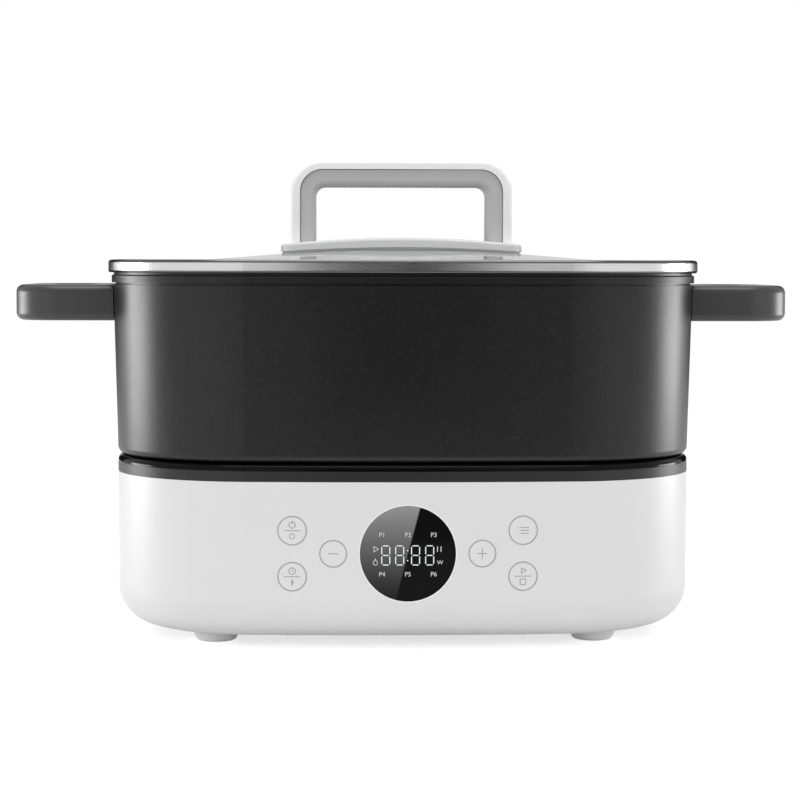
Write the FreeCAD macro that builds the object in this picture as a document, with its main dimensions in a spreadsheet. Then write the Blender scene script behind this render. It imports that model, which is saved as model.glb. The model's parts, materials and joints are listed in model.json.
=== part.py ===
import FreeCAD, Part
import math
import os
import Sketcher
from types import SimpleNamespace

doc = FreeCAD.newDocument("SlowCooker")

# Driving sizes in millimetres: name, value, what it measures.
SIZES = [
    ("base_width", 310.0, "heated base, side to side"),
    ("base_depth", 250.0, "heated base, front to rear"),
    ("corner_round", 76.0, "plan corner radius of the base"),
    ("side_bow", 1168.0, "plan radius of the gently bowed sides"),
    ("foot_height", 6.5, "table to the underside of the shell"),
    ("foot_top_radius", 13.0, "foot where it meets the cover"),
    ("foot_tip_radius", 10.4, "foot on the table"),
    ("foot_inset_x", 55.0, "foot centre from the side of the base"),
    ("foot_inset_y", 47.0, "foot centre from the front or rear of the base"),
    ("foot_round", 2.5, "foot edge on the table"),
    ("plug_radius", 3.4, "plug of a foot through the cover"),
    ("plug_play", 0.1, "play round a plug in the cover"),
    ("snap_out", 0.4, "snap bead of a plug, outwards"),
    ("snap_high", 1.6, "snap bead height"),
    ("shell_height", 81.5, "white shell, underside to its top edge"),
    ("shell_wall", 2.8, "white shell wall"),
    ("shell_floor", 5.0, "white shell floor rim"),
    ("shell_round", 20.0, "lower edge rounding of the shell"),
    ("cover_inset", 26.0, "edge of the bottom cover recess from the outline"),
    ("ledge_width", 7.0, "ledge that carries the bottom cover"),
    ("cover_thick", 2.4, "bottom cover"),
    ("cover_gap", 0.3, "play round the bottom cover"),
    ("cover_screw_side", 95.0, "front and rear cover screws from the side of the base"),
    ("cover_screw_in", 1.5, "front and rear cover screws, further in than the side ones"),
    ("cover_screw_long", 10.0, "cover screw below its head"),
    ("boss_radius", 3.4, "cover screw boss"),
    ("boss_rise", 6.0, "cover screw boss above the shell floor"),
    ("boss_end", 2.0, "closed end of a cover screw boss"),
    ("vent_half", 38.0, "cooling slot half length"),
    ("vent_wide", 4.0, "cooling slot width"),
    ("vent_pitch", 9.0, "cooling slot spacing"),
    ("vent_set", 75.0, "middle cooling slot behind the front"),
    ("band_height", 5.4, "dark trim band"),
    ("skirt_gap", 0.3, "play between nested skirts"),
    ("skirt_wall", 2.2, "wall of the trim and deck skirts"),
    ("skirt_drop", 8.0, "how far skirts reach down"),
    ("deck_thick", 3.8, "black top deck"),
    ("deck_round", 3.4, "shoulder rounding of the deck"),
    ("pan_margin", 15.0, "heat shield flange edge from the front of the base"),
    ("flange_width", 14.0, "heat shield flange width"),
    ("well_inset", 3.5, "deck opening inside the heat shield pan"),
    ("well_gap", 2.5, "gap between deck opening and heating plate"),
    ("well_round", 0.8, "edge rounding of deck opening and heating plate"),
    ("tube_inset", 22.0, "heater tube ring inside the plate edge"),
    ("post_inset", 23.0, "ring of posts inside the heater tube ring"),
    ("flange_screw_in", 6.5, "heat shield screws from the flange edge"),
    ("pan_boss_radius", 4.0, "heat shield screw boss"),
    ("pan_screw_long", 6.0, "heat shield screw"),
    ("plate_thick", 8.0, "heating plate disc"),
    ("plate_drop", 3.0, "heating plate top below the deck top"),
    ("plate_hole", 14.0, "middle hole of the heating plate"),
    ("seal_play", 0.15, "play of the plate seal in its gap"),
    ("seal_lip", 3.2, "seal lip under the deck"),
    ("seal_thick", 3.2, "seal lip thickness"),
    ("seal_drop", 0.3, "seal top below the plate top"),
    ("tube_radius", 4.0, "heater tube"),
    ("tube_play", 0.05, "play round the tube in its rib"),
    ("terminal_radius", 2.5, "heater terminal pin"),
    ("terminal_long", 14.0, "heater terminal pin length"),
    ("rib_half", 8.0, "half width of the rib that holds the tube"),
    ("rib_drop", 6.2, "rib below the disc"),
    ("pan_sheet", 0.8, "heat shield sheet"),
    ("pan_hole", 5.0, "middle hole of the heat shield"),
    ("pan_depth", 30.6, "heat shield floor below its flange"),
    ("pan_drop", 6.0, "heat shield flange below the deck"),
    ("post_radius", 4.0, "post under the plate"),
    ("post_bore", 1.6, "bore of a post and pilot in the plate"),
    ("post_screw_radius", 1.5, "post screw shank"),
    ("post_screw_in", 4.0, "post screw into the plate"),
    ("probe_radius", 12.9, "sensor probe cap"),
    ("probe_thick", 4.0, "sensor probe cap height"),
    ("stem_radius", 4.0, "sensor probe stem"),
    ("stem_gap", 0.4, "play round the stem"),
    ("stem_room", 1.0, "stem end above the cup seat when pressed"),
    ("probe_round", 1.2, "sensor probe cap edge"),
    ("holder_radius", 12.0, "sensor holder cup, outside"),
    ("holder_bore", 9.8, "sensor holder cup, inside"),
    ("holder_height", 26.0, "sensor holder cup height"),
    ("holder_floor", 1.5, "sensor holder cup floor"),
    ("spring_radius", 7.0, "sensor spring, middle of the wire"),
    ("spring_wire", 0.8, "sensor spring wire radius"),
    ("spring_play", 0.15, "spring end below the probe cap"),
    ("probe_travel", 2.5, "sensor probe travel"),
    ("probe_lead", 0.3, "probe top below the pot dimple"),
    ("pot_lift", 0.4, "pot underside above the deck top"),
    ("pot_height", 90.2, "pot wall, underside to the neck groove"),
    ("pot_foot_offset", -0.1, "pot outline at the bottom, from the base outline"),
    ("pot_neck_offset", 2.2, "pot outline at the neck"),
    ("pot_band_offset", 3.0, "pot outline at the top band"),
    ("groove_height", 1.1, "neck groove"),
    ("groove_depth", 1.4, "neck groove, inwards"),
    ("pot_band_height", 4.1, "pot top band"),
    ("pot_band_round", 0.7, "upper edge of the pot top band"),
    ("pot_lip_height", 1.2, "narrow lip that carries the lid"),
    ("pot_lip_width", 2.4, "width of that lip"),
    ("pot_wall_low", 3.8, "pot wall at the floor"),
    ("pot_mouth_offset", -0.6, "pot mouth, from the base outline"),
    ("pot_floor", 5.0, "pot floor"),
    ("pot_round", 3.6, "pot lower edge rounding"),
    ("pot_inner_round", 12.0, "pot inner floor rounding"),
    ("dimple_radius", 16.0, "dimple over the sensor"),
    ("dimple_depth", 2.8, "dimple height"),
    ("lug_out", 15.0, "cast lug, reach from the base outline"),
    ("lug_half", 6.0, "cast lug, half width"),
    ("lug_along", 40.0, "cast lug from the middle"),
    ("lug_height", 9.0, "cast lug height"),
    ("lug_gap", 0.3, "play round a lug in the handle"),
    ("lug_pilot", 1.7, "pilot of a handle screw in its lug"),
    ("lug_screw_in", 6.0, "handle screw from the lug end"),
    ("handle_screw", 1.55, "handle screw shank"),
    ("handle_screw_hole", 1.9, "handle hole for its screw"),
    ("handle_screw_long", 10.0, "handle screw below its head"),
    ("handle_screw_sink", 2.0, "handle screw head recess depth"),
    ("handle_screw_well", 3.5, "handle screw head recess radius"),
    ("handle_reach", 55.3, "side handle, reach from the base outline"),
    ("handle_half", 56.0, "side handle, half length"),
    ("handle_thick", 19.2, "side handle height"),
    ("handle_corner", 24.0, "side handle plan corner"),
    ("handle_edge", 4.0, "side handle edge rounding"),
    ("handle_gap", 0.35, "gap between a side handle and the pot"),
    ("handle_root", 10.0, "handle blank inside the base outline, before the pot cuts it"),
    ("handle_below", 0.3, "side handle top below the neck groove"),
    ("finger_near", 19.0, "finger opening, near side from the base outline"),
    ("finger_far", 39.5, "finger opening, far side from the base outline"),
    ("finger_half", 34.0, "finger opening, half length"),
    ("finger_far_round", 9.0, "finger opening, outer corners"),
    ("finger_near_round", 6.0, "finger opening, inner corners"),
    ("rim_offset", 4.8, "lid rim outline, from the base outline"),
    ("rim_height", 7.0, "lid rim"),
    ("rim_skin", 0.9, "lid rim outer skin"),
    ("rim_lip", 1.2, "lid rim upper and lower lip"),
    ("rim_inner_offset", -3.0, "lid rim inner edge, from the base outline"),
    ("rim_top_round", 2.0, "lid rim upper rounding"),
    ("rim_low_round", 1.2, "lid rim lower rounding"),
    ("bead_gap", 0.7, "lid locating bead inside the pot mouth"),
    ("bead_drop", 2.4, "lid locating bead height"),
    ("glass_thick", 4.0, "lid glass"),
    ("glass_gap", 0.2, "lid glass edge inside the rim"),
    ("dome_rise", 8.4, "lid glass dome"),
    ("plate_deep", 46.0, "handle plate front to rear"),
    ("plate_over", 5.6, "handle plate past the lid handle, each end"),
    ("plate_corner", 14.0, "handle plate plan corner"),
    ("plate_edge", 1.6, "handle plate upper edge"),
    ("plate_clear", 1.2, "handle plate above the glass, at the middle"),
    ("plate_low_sag", 2.6, "lower curve of the handle plate"),
    ("plate_top_sag", 3.7, "upper curve of the handle plate"),
    ("plate_mid", 5.2, "handle plate thickness at the middle"),
    ("gasket_sink", 2.0, "gasket blank below the plate, before the glass cuts it"),
    ("gasket_in", 1.0, "gasket inside the plate edge"),
    ("bridge_rise", 49.4, "lid handle top above the glass top"),
    ("bridge_round", 17.5, "lid handle outer corner"),
    ("cover_band", 5.0, "outer band of the lid handle"),
    ("grip_gap", 0.3, "line between band and grip"),
    ("grip_half", 47.4, "lid handle inner half width"),
    ("leg_thick", 8.7, "inner grip, leg width"),
    ("grip_thick", 9.3, "inner grip, bar height"),
    ("grip_round", 5.5, "lid handle inner corner"),
    ("cover_deep", 27.0, "outer band front to rear"),
    ("grip_deep", 24.0, "inner grip front to rear"),
    ("arch_lift", 0.3, "foot of the lid handle above the underside of the plate"),
    ("cover_edge", 2.2, "outer band edge rounding"),
    ("grip_edge", 4.0, "inner grip edge rounding"),
    ("lid_screw_radius", 2.0, "lid screw shank"),
    ("lid_screw_play", 0.2, "play round a lid screw"),
    ("lid_screw_bite", 0.05, "lid screw pilot, wider than the screw"),
    ("lid_screw_in", 17.0, "lid screw above the glass top"),
    ("lid_head", 4.0, "lid screw head radius"),
    ("lid_head_high", 2.4, "lid screw head height"),
    ("washer_radius", 7.5, "lid washer"),
    ("washer_thick", 5.0, "lid washer blank"),
    ("washer_drop", 2.87, "lid washer face below the glass"),
    ("lid_hole", 3.2, "hole of the glass for a lid screw"),
    ("lens_radius", 24.5, "display lens"),
    ("panel_drop", 36.6, "control row below the top edge of the shell"),
    ("key_radius", 7.0, "outer keys"),
    ("small_key_radius", 6.55, "inner keys"),
    ("key_gap", 0.35, "gap round a key"),
    ("lens_gap", 0.15, "gap round the lens"),
    ("lens_flange", 2.0, "lens flange behind the wall, outwards"),
    ("lens_flange_thick", 1.5, "lens flange thickness"),
    ("module_wide", 40.0, "display block width"),
    ("module_high", 30.0, "display block height"),
    ("module_rim", 2.0, "display block foot, outwards"),
    ("module_foot", 2.0, "display block foot thickness"),
    ("module_gap", 0.4, "display block behind the lens"),
    ("key_across", 59.0, "outer keys from the middle"),
    ("small_key_across", 38.1, "inner keys from the middle"),
    ("key_up", 11.8, "outer keys above and below the row"),
    ("key_flange", 1.2, "retaining flange of a key, outwards"),
    ("key_play", 0.3, "key flange behind the shell wall"),
    ("key_travel", 0.5, "key travel"),
    ("key_flange_thick", 1.0, "key flange thickness"),
    ("key_stem", 2.6, "key stem radius"),
    ("key_rest", 0.15, "key stem off its switch after full travel"),
    ("board_set", 14.0, "display board behind the front"),
    ("board_thick", 1.6, "circuit boards"),
    ("board_pilot", 1.2, "pilot of a board screw"),
    ("board_hole", 1.5, "board hole for a screw"),
    ("board_screw", 1.15, "board screw shank"),
    ("board_screw_long", 7.0, "board screw below its head"),
    ("board_head", 2.4, "board screw head radius"),
    ("board_head_high", 1.6, "board screw head height"),
    ("panel_post_radius", 3.2, "display board post"),
    ("panel_post_set", 3.8, "display board post end behind the front"),
    ("board_half", 80.0, "display board half width"),
    ("board_high", 44.0, "display board height"),
    ("board_screw_x", 75.0, "display board screws from the middle"),
    ("board_screw_z", 17.0, "display board screws from the row"),
    ("switch_side", 6.0, "key switch body"),
    ("switch_high", 3.4, "key switch body height"),
    ("plunger_high", 1.0, "key switch plunger"),
    ("nib_radius", 1.6, "key switch plunger radius"),
    ("nib_sink", 0.5, "plunger inside the switch"),
    ("power_half", 60.0, "power board half width"),
    ("power_deep", 66.0, "power board front to rear"),
    ("power_front", -4.0, "power board front edge"),
    ("power_level", 20.0, "power board underside"),
    ("power_post_in", 5.0, "power board posts from its edge"),
    ("power_post_radius", 3.5, "power board post"),
    ("transformer_x", -34.0, "transformer, sideways"),
    ("transformer_y", 22.0, "transformer, front to rear"),
    ("core_wide", 32.0, "transformer core width"),
    ("core_deep", 27.0, "transformer core depth"),
    ("core_high", 18.0, "transformer core height"),
    ("core_rise", 3.0, "transformer core above the board"),
    ("coil_wide", 24.0, "transformer coil width"),
    ("coil_deep", 33.0, "transformer coil depth"),
    ("coil_high", 22.0, "transformer coil height"),
    ("relay_x", 34.0, "relay, sideways"),
    ("relay_y", 14.0, "relay, front to rear"),
    ("relay_wide", 15.0, "relay width"),
    ("relay_deep", 19.0, "relay depth"),
    ("relay_high", 15.0, "relay height"),
    ("capacitor_x", 6.0, "capacitor, sideways"),
    ("capacitor_y", 16.0, "capacitor, front to rear"),
    ("capacitor_wide", 12.0, "capacitor width"),
    ("capacitor_deep", 26.0, "capacitor depth"),
    ("capacitor_high", 15.0, "capacitor height"),
    ("case_step", 1.0, "step round the top of a case"),
    ("case_step_high", 0.7, "height of that step"),
    ("fuse_x", 38.0, "fuse, sideways"),
    ("fuse_y", 30.0, "fuse front end"),
    ("fuse_radius", 2.6, "fuse"),
    ("fuse_long", 18.0, "fuse length"),
    ("fuse_rise", 4.0, "fuse axis above the board"),
    ("clip_wide", 6.0, "fuse clip width"),
    ("clip_thick", 2.0, "fuse clip thickness"),
    ("clip_high", 3.0, "fuse clip height"),
    ("strip_wide", 64.0, "terminal strip width"),
    ("strip_deep", 11.0, "terminal strip depth"),
    ("strip_high", 19.0, "terminal strip height"),
    ("strip_bore", 2.0, "terminal strip bore"),
    ("strip_floor", 5.0, "floor of a terminal strip bore"),
    ("inlet_level", 40.0, "appliance inlet centre height"),
    ("inlet_wide", 29.0, "inlet housing width"),
    ("inlet_high", 22.0, "inlet housing height"),
    ("inlet_deep", 22.0, "inlet housing depth"),
    ("inlet_wall", 2.2, "inlet housing wall"),
    ("inlet_flange", 2.2, "inlet flange thickness"),
    ("inlet_rim_wide", 50.0, "inlet flange width"),
    ("inlet_rim_high", 28.0, "inlet flange height"),
    ("inlet_screw_x", 20.0, "inlet screws from the middle"),
    ("inlet_gap", 0.3, "play round the inlet housing in the shell"),
    ("inlet_screw_long", 8.0, "inlet screw below its head"),
    ("inlet_screw_hole", 1.7, "inlet flange hole for a screw"),
    ("pin_across", 7.0, "line pins from the middle"),
    ("pin_down", 2.0, "line pins below the inlet centre"),
    ("pin_up", 3.0, "earth pin above the inlet centre"),
    ("pin_thick", 2.0, "inlet pin thickness"),
    ("pin_high", 4.0, "inlet pin height"),
    ("pin_long", 30.0, "inlet pin length"),
    ("pin_play", 0.1, "play round a pin in the housing"),
    ("pin_tail", 6.0, "inlet pin behind the housing"),
    ("lead_radius", 1.7, "inner leads"),
    ("lead_set", 6.0, "lead and strip bore in front of a heater terminal"),
    ("lead_hole", 4.0, "heat shield hole for a lead"),
    ("lead_bury", 0.2, "lead end above the bore floor"),
    ("tag_wide", 5.0, "crimp tag width and height"),
    ("tag_deep", 10.0, "crimp tag length"),
    ("tag_drop", 19.0, "crimp tag underside below the heater rib"),
    ("screw_radius", 1.45, "small screw shank"),
    ("pilot_radius", 1.5, "pilot bore of a small screw"),
    ("screw_hole", 1.8, "clearance hole of a small screw"),
    ("screw_head", 3.0, "small screw head radius"),
    ("head_high", 1.8, "small screw head height"),
    ("slot_wide", 0.9, "driver slot width"),
    ("slot_deep", 0.8, "driver slot depth"),
    ("slot_margin", 0.9, "driver slot end from the head edge"),
    ("tip_room", 1.0, "room past a screw tip and past a cut"),
    ("neck_sink", 0.2, "shank inside its head"),
]

sheet = doc.addObject("Spreadsheet::Sheet", "Sizes")
for row, (alias, value, note) in enumerate(SIZES, start=1):
    sheet.set("A%d" % row, alias)
    sheet.set("B%d" % row, str(value))
    sheet.set("C%d" % row, note)
    sheet.setAlias("B%d" % row, alias)
doc.recompute()


class Size:
    """A length: the sheet expression that drives it and its present value."""

    def __init__(self, text, value):
        self.text = text
        self.value = value

    def __add__(self, other):
        other = size(other)
        return Size("(%s + %s)" % (self.text, other.text), self.value + other.value)

    def __sub__(self, other):
        other = size(other)
        return Size("(%s - %s)" % (self.text, other.text), self.value - other.value)

    def __mul__(self, other):
        other = size(other)
        return Size("(%s * %s)" % (self.text, other.text), self.value * other.value)

    def __truediv__(self, other):
        other = size(other)
        return Size("(%s / %s)" % (self.text, other.text), self.value / other.value)

    def __radd__(self, other):
        return size(other) + self

    def __rsub__(self, other):
        return size(other) - self

    def __rmul__(self, other):
        return size(other) * self

    def __neg__(self):
        return Size("(0 - %s)" % self.text, -self.value)


def size(number):
    if isinstance(number, Size):
        return number
    return Size(repr(float(number)), float(number))


s = SimpleNamespace(**{alias: Size("Sizes.%s" % alias, value) for alias, value, note in SIZES})
nodes = {}
NAMES_USED = {}


def unique(stem):
    NAMES_USED[stem] = NAMES_USED.get(stem, 0) + 1
    return "%s_%d" % (stem, NAMES_USED[stem])


def bind(item, prop, length):
    item.setExpression(prop, size(length).text)


def place(item, x, y, z):
    bind(item, ".Placement.Base.x", x)
    bind(item, ".Placement.Base.y", y)
    bind(item, ".Placement.Base.z", z)


def keep(node, item):
    item.Label = node
    nodes[node] = item
    return item


# Sketch helpers. Every drawn point is tied to the sheet.
def new_body(stem):
    return doc.addObject("PartDesign::Body", unique(stem + "_body"))


def new_sketch(body, stem, role="XY_Plane", offset=None):
    sketch = body.newObject("Sketcher::SketchObject", unique(stem))
    plane = [feature for feature in body.Origin.OriginFeatures if feature.Role == role][0]
    sketch.AttachmentSupport = [(plane, "")]
    sketch.MapMode = "FlatFace"
    if offset is not None:
        bind(sketch, "AttachmentOffset.Base.z", offset)
    return sketch


def tie(sketch, kind, picks, length):
    length = size(length)
    index = sketch.addConstraint(Sketcher.Constraint(kind, *picks, length.value))
    sketch.setExpression("Constraints[%d]" % index, length.text)


def polygon(sketch, points):
    points = [(size(x), size(y)) for x, y in points]
    first = sketch.GeometryCount
    count = len(points)
    for index in range(count):
        start = points[index]
        stop = points[(index + 1) % count]
        begin = FreeCAD.Vector(start[0].value, start[1].value, 0)
        end = FreeCAD.Vector(stop[0].value, stop[1].value, 0)
        sketch.addGeometry(Part.LineSegment(begin, end))
    for index in range(count):
        following = first + (index + 1) % count
        sketch.addConstraint(Sketcher.Constraint("Coincident", first + index, 2, following, 1))
    for index, (x, y) in enumerate(points):
        tie(sketch, "DistanceX", (first + index, 1), x)
        tie(sketch, "DistanceY", (first + index, 1), y)


def rectangle(sketch, left, low, right, high):
    polygon(sketch, [(left, low), (right, low), (right, high), (left, high)])


def circle(sketch, x, y, radius):
    x = size(x)
    y = size(y)
    radius = size(radius)
    centre = FreeCAD.Vector(x.value, y.value, 0)
    index = sketch.addGeometry(Part.Circle(centre, FreeCAD.Vector(0, 0, 1), radius.value))
    tie(sketch, "DistanceX", (index, 3), x)
    tie(sketch, "DistanceY", (index, 3), y)
    tie(sketch, "Radius", (index,), radius)


def outline(sketch, offset=0.0, scale=1.0):
    """Bowed rounded rectangle: the base outline moved outwards by offset, or scaled."""
    half_width = (s.base_width / 2 + offset) * scale
    half_depth = (s.base_depth / 2 + offset) * scale
    corner = (s.corner_round + offset) * scale
    bow = (s.side_bow + offset) * scale
    a = half_width.value
    b = half_depth.value
    r = corner.value
    big = bow.value
    front = FreeCAD.Vector(0, big - b, 0)
    right = FreeCAD.Vector(a - big, 0, 0)
    reach = big - r
    middle = (front + right) * 0.5
    span = (right - front).Length
    across = FreeCAD.Vector(-(right - front).y, (right - front).x, 0)
    across.normalize()
    if across.x < 0:
        across = across * -1
    nook = middle + across * math.sqrt(reach * reach - span * span / 4)
    cx = abs(nook.x)
    cy = abs(nook.y)
    turn_front = math.atan2(-cy - front.y, cx)
    turn_right = math.atan2(-cy, cx - right.x)
    quarter = math.pi / 2
    spread_front = turn_front + quarter
    spread_right = -turn_right
    up = FreeCAD.Vector(0, 0, 1)
    arcs = [
        (FreeCAD.Vector(0, big - b, 0), big, -quarter - spread_front, -quarter + spread_front),
        (FreeCAD.Vector(cx, -cy, 0), r, -quarter + spread_front, -spread_right),
        (FreeCAD.Vector(a - big, 0, 0), big, -spread_right, spread_right),
        (FreeCAD.Vector(cx, cy, 0), r, spread_right, quarter - spread_front),
        (FreeCAD.Vector(0, b - big, 0), big, quarter - spread_front, quarter + spread_front),
        (FreeCAD.Vector(-cx, cy, 0), r, quarter + spread_front, math.pi - spread_right),
        (FreeCAD.Vector(big - a, 0, 0), big, math.pi - spread_right, math.pi + spread_right),
        (FreeCAD.Vector(-cx, -cy, 0), r, math.pi + spread_right, 3 * quarter - spread_front),
    ]
    first = sketch.GeometryCount
    for centre, radius, begin, end in arcs:
        sketch.addGeometry(Part.ArcOfCircle(Part.Circle(centre, up, radius), begin, end))
    for index in range(len(arcs)):
        following = first + (index + 1) % len(arcs)
        sketch.addConstraint(Sketcher.Constraint("Tangent", first + index, 2, following, 1))
    for index, axis in ((0, -2), (2, -1), (4, -2), (6, -1)):
        sketch.addConstraint(Sketcher.Constraint("PointOnObject", first + index, 3, axis))
    tie(sketch, "DistanceY", (first, 3), bow - half_depth)
    tie(sketch, "DistanceX", (first + 2, 3), half_width - bow)
    tie(sketch, "DistanceY", (first + 4, 3), half_depth - bow)
    tie(sketch, "DistanceX", (first + 6, 3), bow - half_width)
    for index in (0, 2, 4, 6):
        tie(sketch, "Radius", (first + index,), bow)
    for index in (1, 3, 5, 7):
        tie(sketch, "Radius", (first + index,), corner)


# Feature helpers.
def pad(body, sketch, length, down=False, both=False):
    feature = body.newObject("PartDesign::Pad", unique("pad"))
    feature.Profile = sketch
    bind(feature, "Length", length)
    feature.Reversed = down
    feature.Midplane = both
    doc.recompute()
    return feature


def pocket(body, sketch, length, along=False):
    before = body.Shape.Volume
    feature = body.newObject("PartDesign::Pocket", unique("pocket"))
    feature.Profile = sketch
    bind(feature, "Length", length)
    feature.Reversed = along
    doc.recompute()
    if body.Shape.Volume > before - 1e-6:
        raise RuntimeError("pocket cuts nothing: " + feature.Name)
    return feature


def loft(body, sketches, kind="PartDesign::AdditiveLoft", ruled=True):
    feature = body.newObject(kind, unique("loft"))
    feature.Profile = sketches[0]
    feature.Sections = sketches[1:]
    feature.Ruled = ruled
    doc.recompute()
    return feature


def revolve(body, sketch):
    feature = body.newObject("PartDesign::Revolution", unique("turned"))
    feature.Profile = sketch
    feature.ReferenceAxis = (sketch, ["V_Axis"])
    feature.Angle = 360
    doc.recompute()
    return feature


def fillet(body, chosen, radius):
    base = body.Tip
    names = []
    for index, edge in enumerate(base.Shape.Edges, start=1):
        if chosen(edge):
            names.append("Edge%d" % index)
    if not names:
        raise RuntimeError("no edge to round in " + body.Name)
    feature = body.newObject("PartDesign::Fillet", unique("round"))
    feature.Base = (base, names)
    bind(feature, "Radius", radius)
    doc.recompute()
    return feature


def at_level(height, outside=None):
    """Edges lying flat at a height, only the far out ones when outside is given."""
    level = size(height).value

    def test(edge):
        box = edge.BoundBox
        if abs(box.ZMin - level) > 1e-4 or abs(box.ZMax - level) > 1e-4:
            return False
        if outside is None:
            return True
        middle = edge.CenterOfMass
        return math.hypot(middle.x, middle.y) > outside

    return test


def upright(x, y):
    """Vertical edges at a plan point, either side of the middle."""
    def test(edge):
        box = edge.BoundBox
        if box.ZLength < 1.0 or box.XLength > 1e-3 or box.YLength > 1e-3:
            return False
        return abs(abs(box.XMin) - size(x).value) < 1e-3 and abs(abs(box.YMin) - size(y).value) < 1e-3

    return test


def crosswise(x, z):
    """Edges running front to rear at a point of the front view, either side of the middle."""
    def test(edge):
        box = edge.BoundBox
        if box.YLength < 1.0 or box.XLength > 1e-3 or box.ZLength > 1e-3:
            return False
        return abs(abs(box.XMin) - size(x).value) < 1e-3 and abs(box.ZMin - size(z).value) < 1e-3

    return test


# Solid helpers.
TURN = {
    "up": FreeCAD.Rotation(),
    "rear": FreeCAD.Rotation(FreeCAD.Vector(1, 0, 0), -90),
}


def rod(x, y, z, radius, length, way="up"):
    item = doc.addObject("Part::Cylinder", unique("rod"))
    item.Placement = FreeCAD.Placement(FreeCAD.Vector(), TURN[way])
    bind(item, "Radius", radius)
    bind(item, "Height", length)
    place(item, x, y, z)
    return item


def block(x, y, z, wide, deep, high):
    """Box given by the middle of its plan and its underside."""
    item = doc.addObject("Part::Box", unique("block"))
    bind(item, "Length", wide)
    bind(item, "Width", deep)
    bind(item, "Height", high)
    place(item, x - size(wide) / 2, y - size(deep) / 2, z)
    return item


def joined(items):
    item = doc.addObject("Part::MultiFuse", unique("joined"))
    item.Shapes = items
    return item


def cut(base, tools):
    tool = tools[0] if len(tools) == 1 else joined(tools)
    item = doc.addObject("Part::Cut", unique("cut"))
    item.Base = base
    item.Tool = tool
    return item


def shared(base, tool):
    item = doc.addObject("Part::Common", unique("shared"))
    item.Base = base
    item.Tool = tool
    return item


def group(items):
    item = doc.addObject("Part::Compound", unique("set"))
    item.Links = items
    return item


def screw_up(x, y, z, radius, length, head_radius=None, head_high=None):
    """Screw driven upwards: z is the face its head bears on."""
    head_radius = head_radius or s.screw_head
    head_high = head_high or s.head_high
    shank = rod(x, y, z - s.neck_sink, radius, length + s.neck_sink)
    head = rod(x, y, z - head_high, head_radius, head_high)
    slot_long = (head_radius - s.slot_margin) * 2
    slot = block(x, y, z - head_high, slot_long, s.slot_wide, s.slot_deep)
    return cut(joined([shank, head]), [slot])


def ring_spots(radius, turns):
    """Plan points on a ring, at turns in degrees."""
    spots = []
    for turn in turns:
        angle = math.radians(turn)
        spots.append((radius * math.cos(angle), radius * math.sin(angle)))
    return spots


# Counts and angles in degrees.
VENT_ROWS = 3
SPRING_TURNS = 7
PAN_SCREW_TURNS = (45, 135, 225, 315)
POST_TURNS = (30, 150, 270)
TERMINAL_TURNS = (70, 110)

# Levels built up from the table.
shell_low = s.foot_height
shell_top = shell_low + s.shell_height
panel_level = shell_top - s.panel_drop
band_top = shell_top + s.band_height
deck_top = band_top + s.deck_thick
plate_top = deck_top - s.plate_drop
plate_low = plate_top - s.plate_thick
rib_low = plate_low - s.rib_drop
pan_top = band_top - s.pan_drop
pan_low = pan_top - s.pan_depth
pot_low = deck_top + s.pot_lift
neck_low = pot_low + s.pot_height
neck_top = neck_low + s.groove_height
pot_band_top = neck_top + s.pot_band_height
pot_top = pot_band_top + s.pot_lip_height
rim_top = pot_top + s.rim_height
glass_low = pot_top + s.rim_lip
glass_edge = glass_low + s.glass_thick
half_wide = s.base_width / 2
half_deep = s.base_depth / 2
pan_flange = half_deep - s.pan_margin
pan_radius = pan_flange - s.flange_width
well_radius = pan_radius - s.well_inset
plate_radius = well_radius - s.well_gap
tube_ring = plate_radius - s.tube_inset
post_ring = tube_ring - s.post_inset

# White shell: a rounded tub with a ledge for the cover and openings for the front and rear fittings.
shell = new_body("base_shell")
sketch = new_sketch(shell, "shell_plan", offset=shell_low)
outline(sketch)
pad(shell, sketch, s.shell_height)
sketch = new_sketch(shell, "shell_inside", offset=shell_top)
outline(sketch, -s.shell_wall)
pocket(shell, sketch, s.shell_height - s.shell_floor)
fillet(shell, at_level(shell_low + s.shell_floor), s.shell_round - s.shell_floor)
fillet(shell, at_level(shell_low), s.shell_round)
sketch = new_sketch(shell, "cover_recess", offset=shell_low)
outline(sketch, -s.cover_inset)
pocket(shell, sketch, s.cover_thick, along=True)
sketch = new_sketch(shell, "floor_opening", offset=shell_low)
outline(sketch, -(s.cover_inset + s.ledge_width))
pocket(shell, sketch, s.shell_floor + s.tip_room, along=True)
cover_screw_inset = s.cover_inset + s.ledge_width / 2
cover_screw_x = half_wide - s.cover_screw_side
cover_screw_y = half_deep - cover_screw_inset - s.cover_screw_in
cover_screw_spots = [
    (half_wide - cover_screw_inset, size(0)),
    (cover_screw_inset - half_wide, size(0)),
    (cover_screw_x, cover_screw_y),
    (-cover_screw_x, cover_screw_y),
    (cover_screw_x, -cover_screw_y),
    (-cover_screw_x, -cover_screw_y),
]
sketch = new_sketch(shell, "cover_bosses", offset=shell_low + s.cover_thick)
for x, y in cover_screw_spots:
    circle(sketch, x, y, s.boss_radius)
pad(shell, sketch, s.shell_floor + s.boss_rise)
sketch = new_sketch(shell, "cover_pilots", offset=shell_low + s.cover_thick)
for x, y in cover_screw_spots:
    circle(sketch, x, y, s.pilot_radius)
pocket(shell, sketch, s.shell_floor + s.boss_rise - s.boss_end, along=True)
key_spots = {
    "power_key": (-s.key_across, panel_level + s.key_up, s.key_radius),
    "timer_key": (-s.key_across, panel_level - s.key_up, s.key_radius),
    "minus_key": (-s.small_key_across, panel_level, s.small_key_radius),
    "plus_key": (s.small_key_across, panel_level, s.small_key_radius),
    "mode_key": (s.key_across, panel_level + s.key_up, s.key_radius),
    "start_key": (s.key_across, panel_level - s.key_up, s.key_radius),
}
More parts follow.
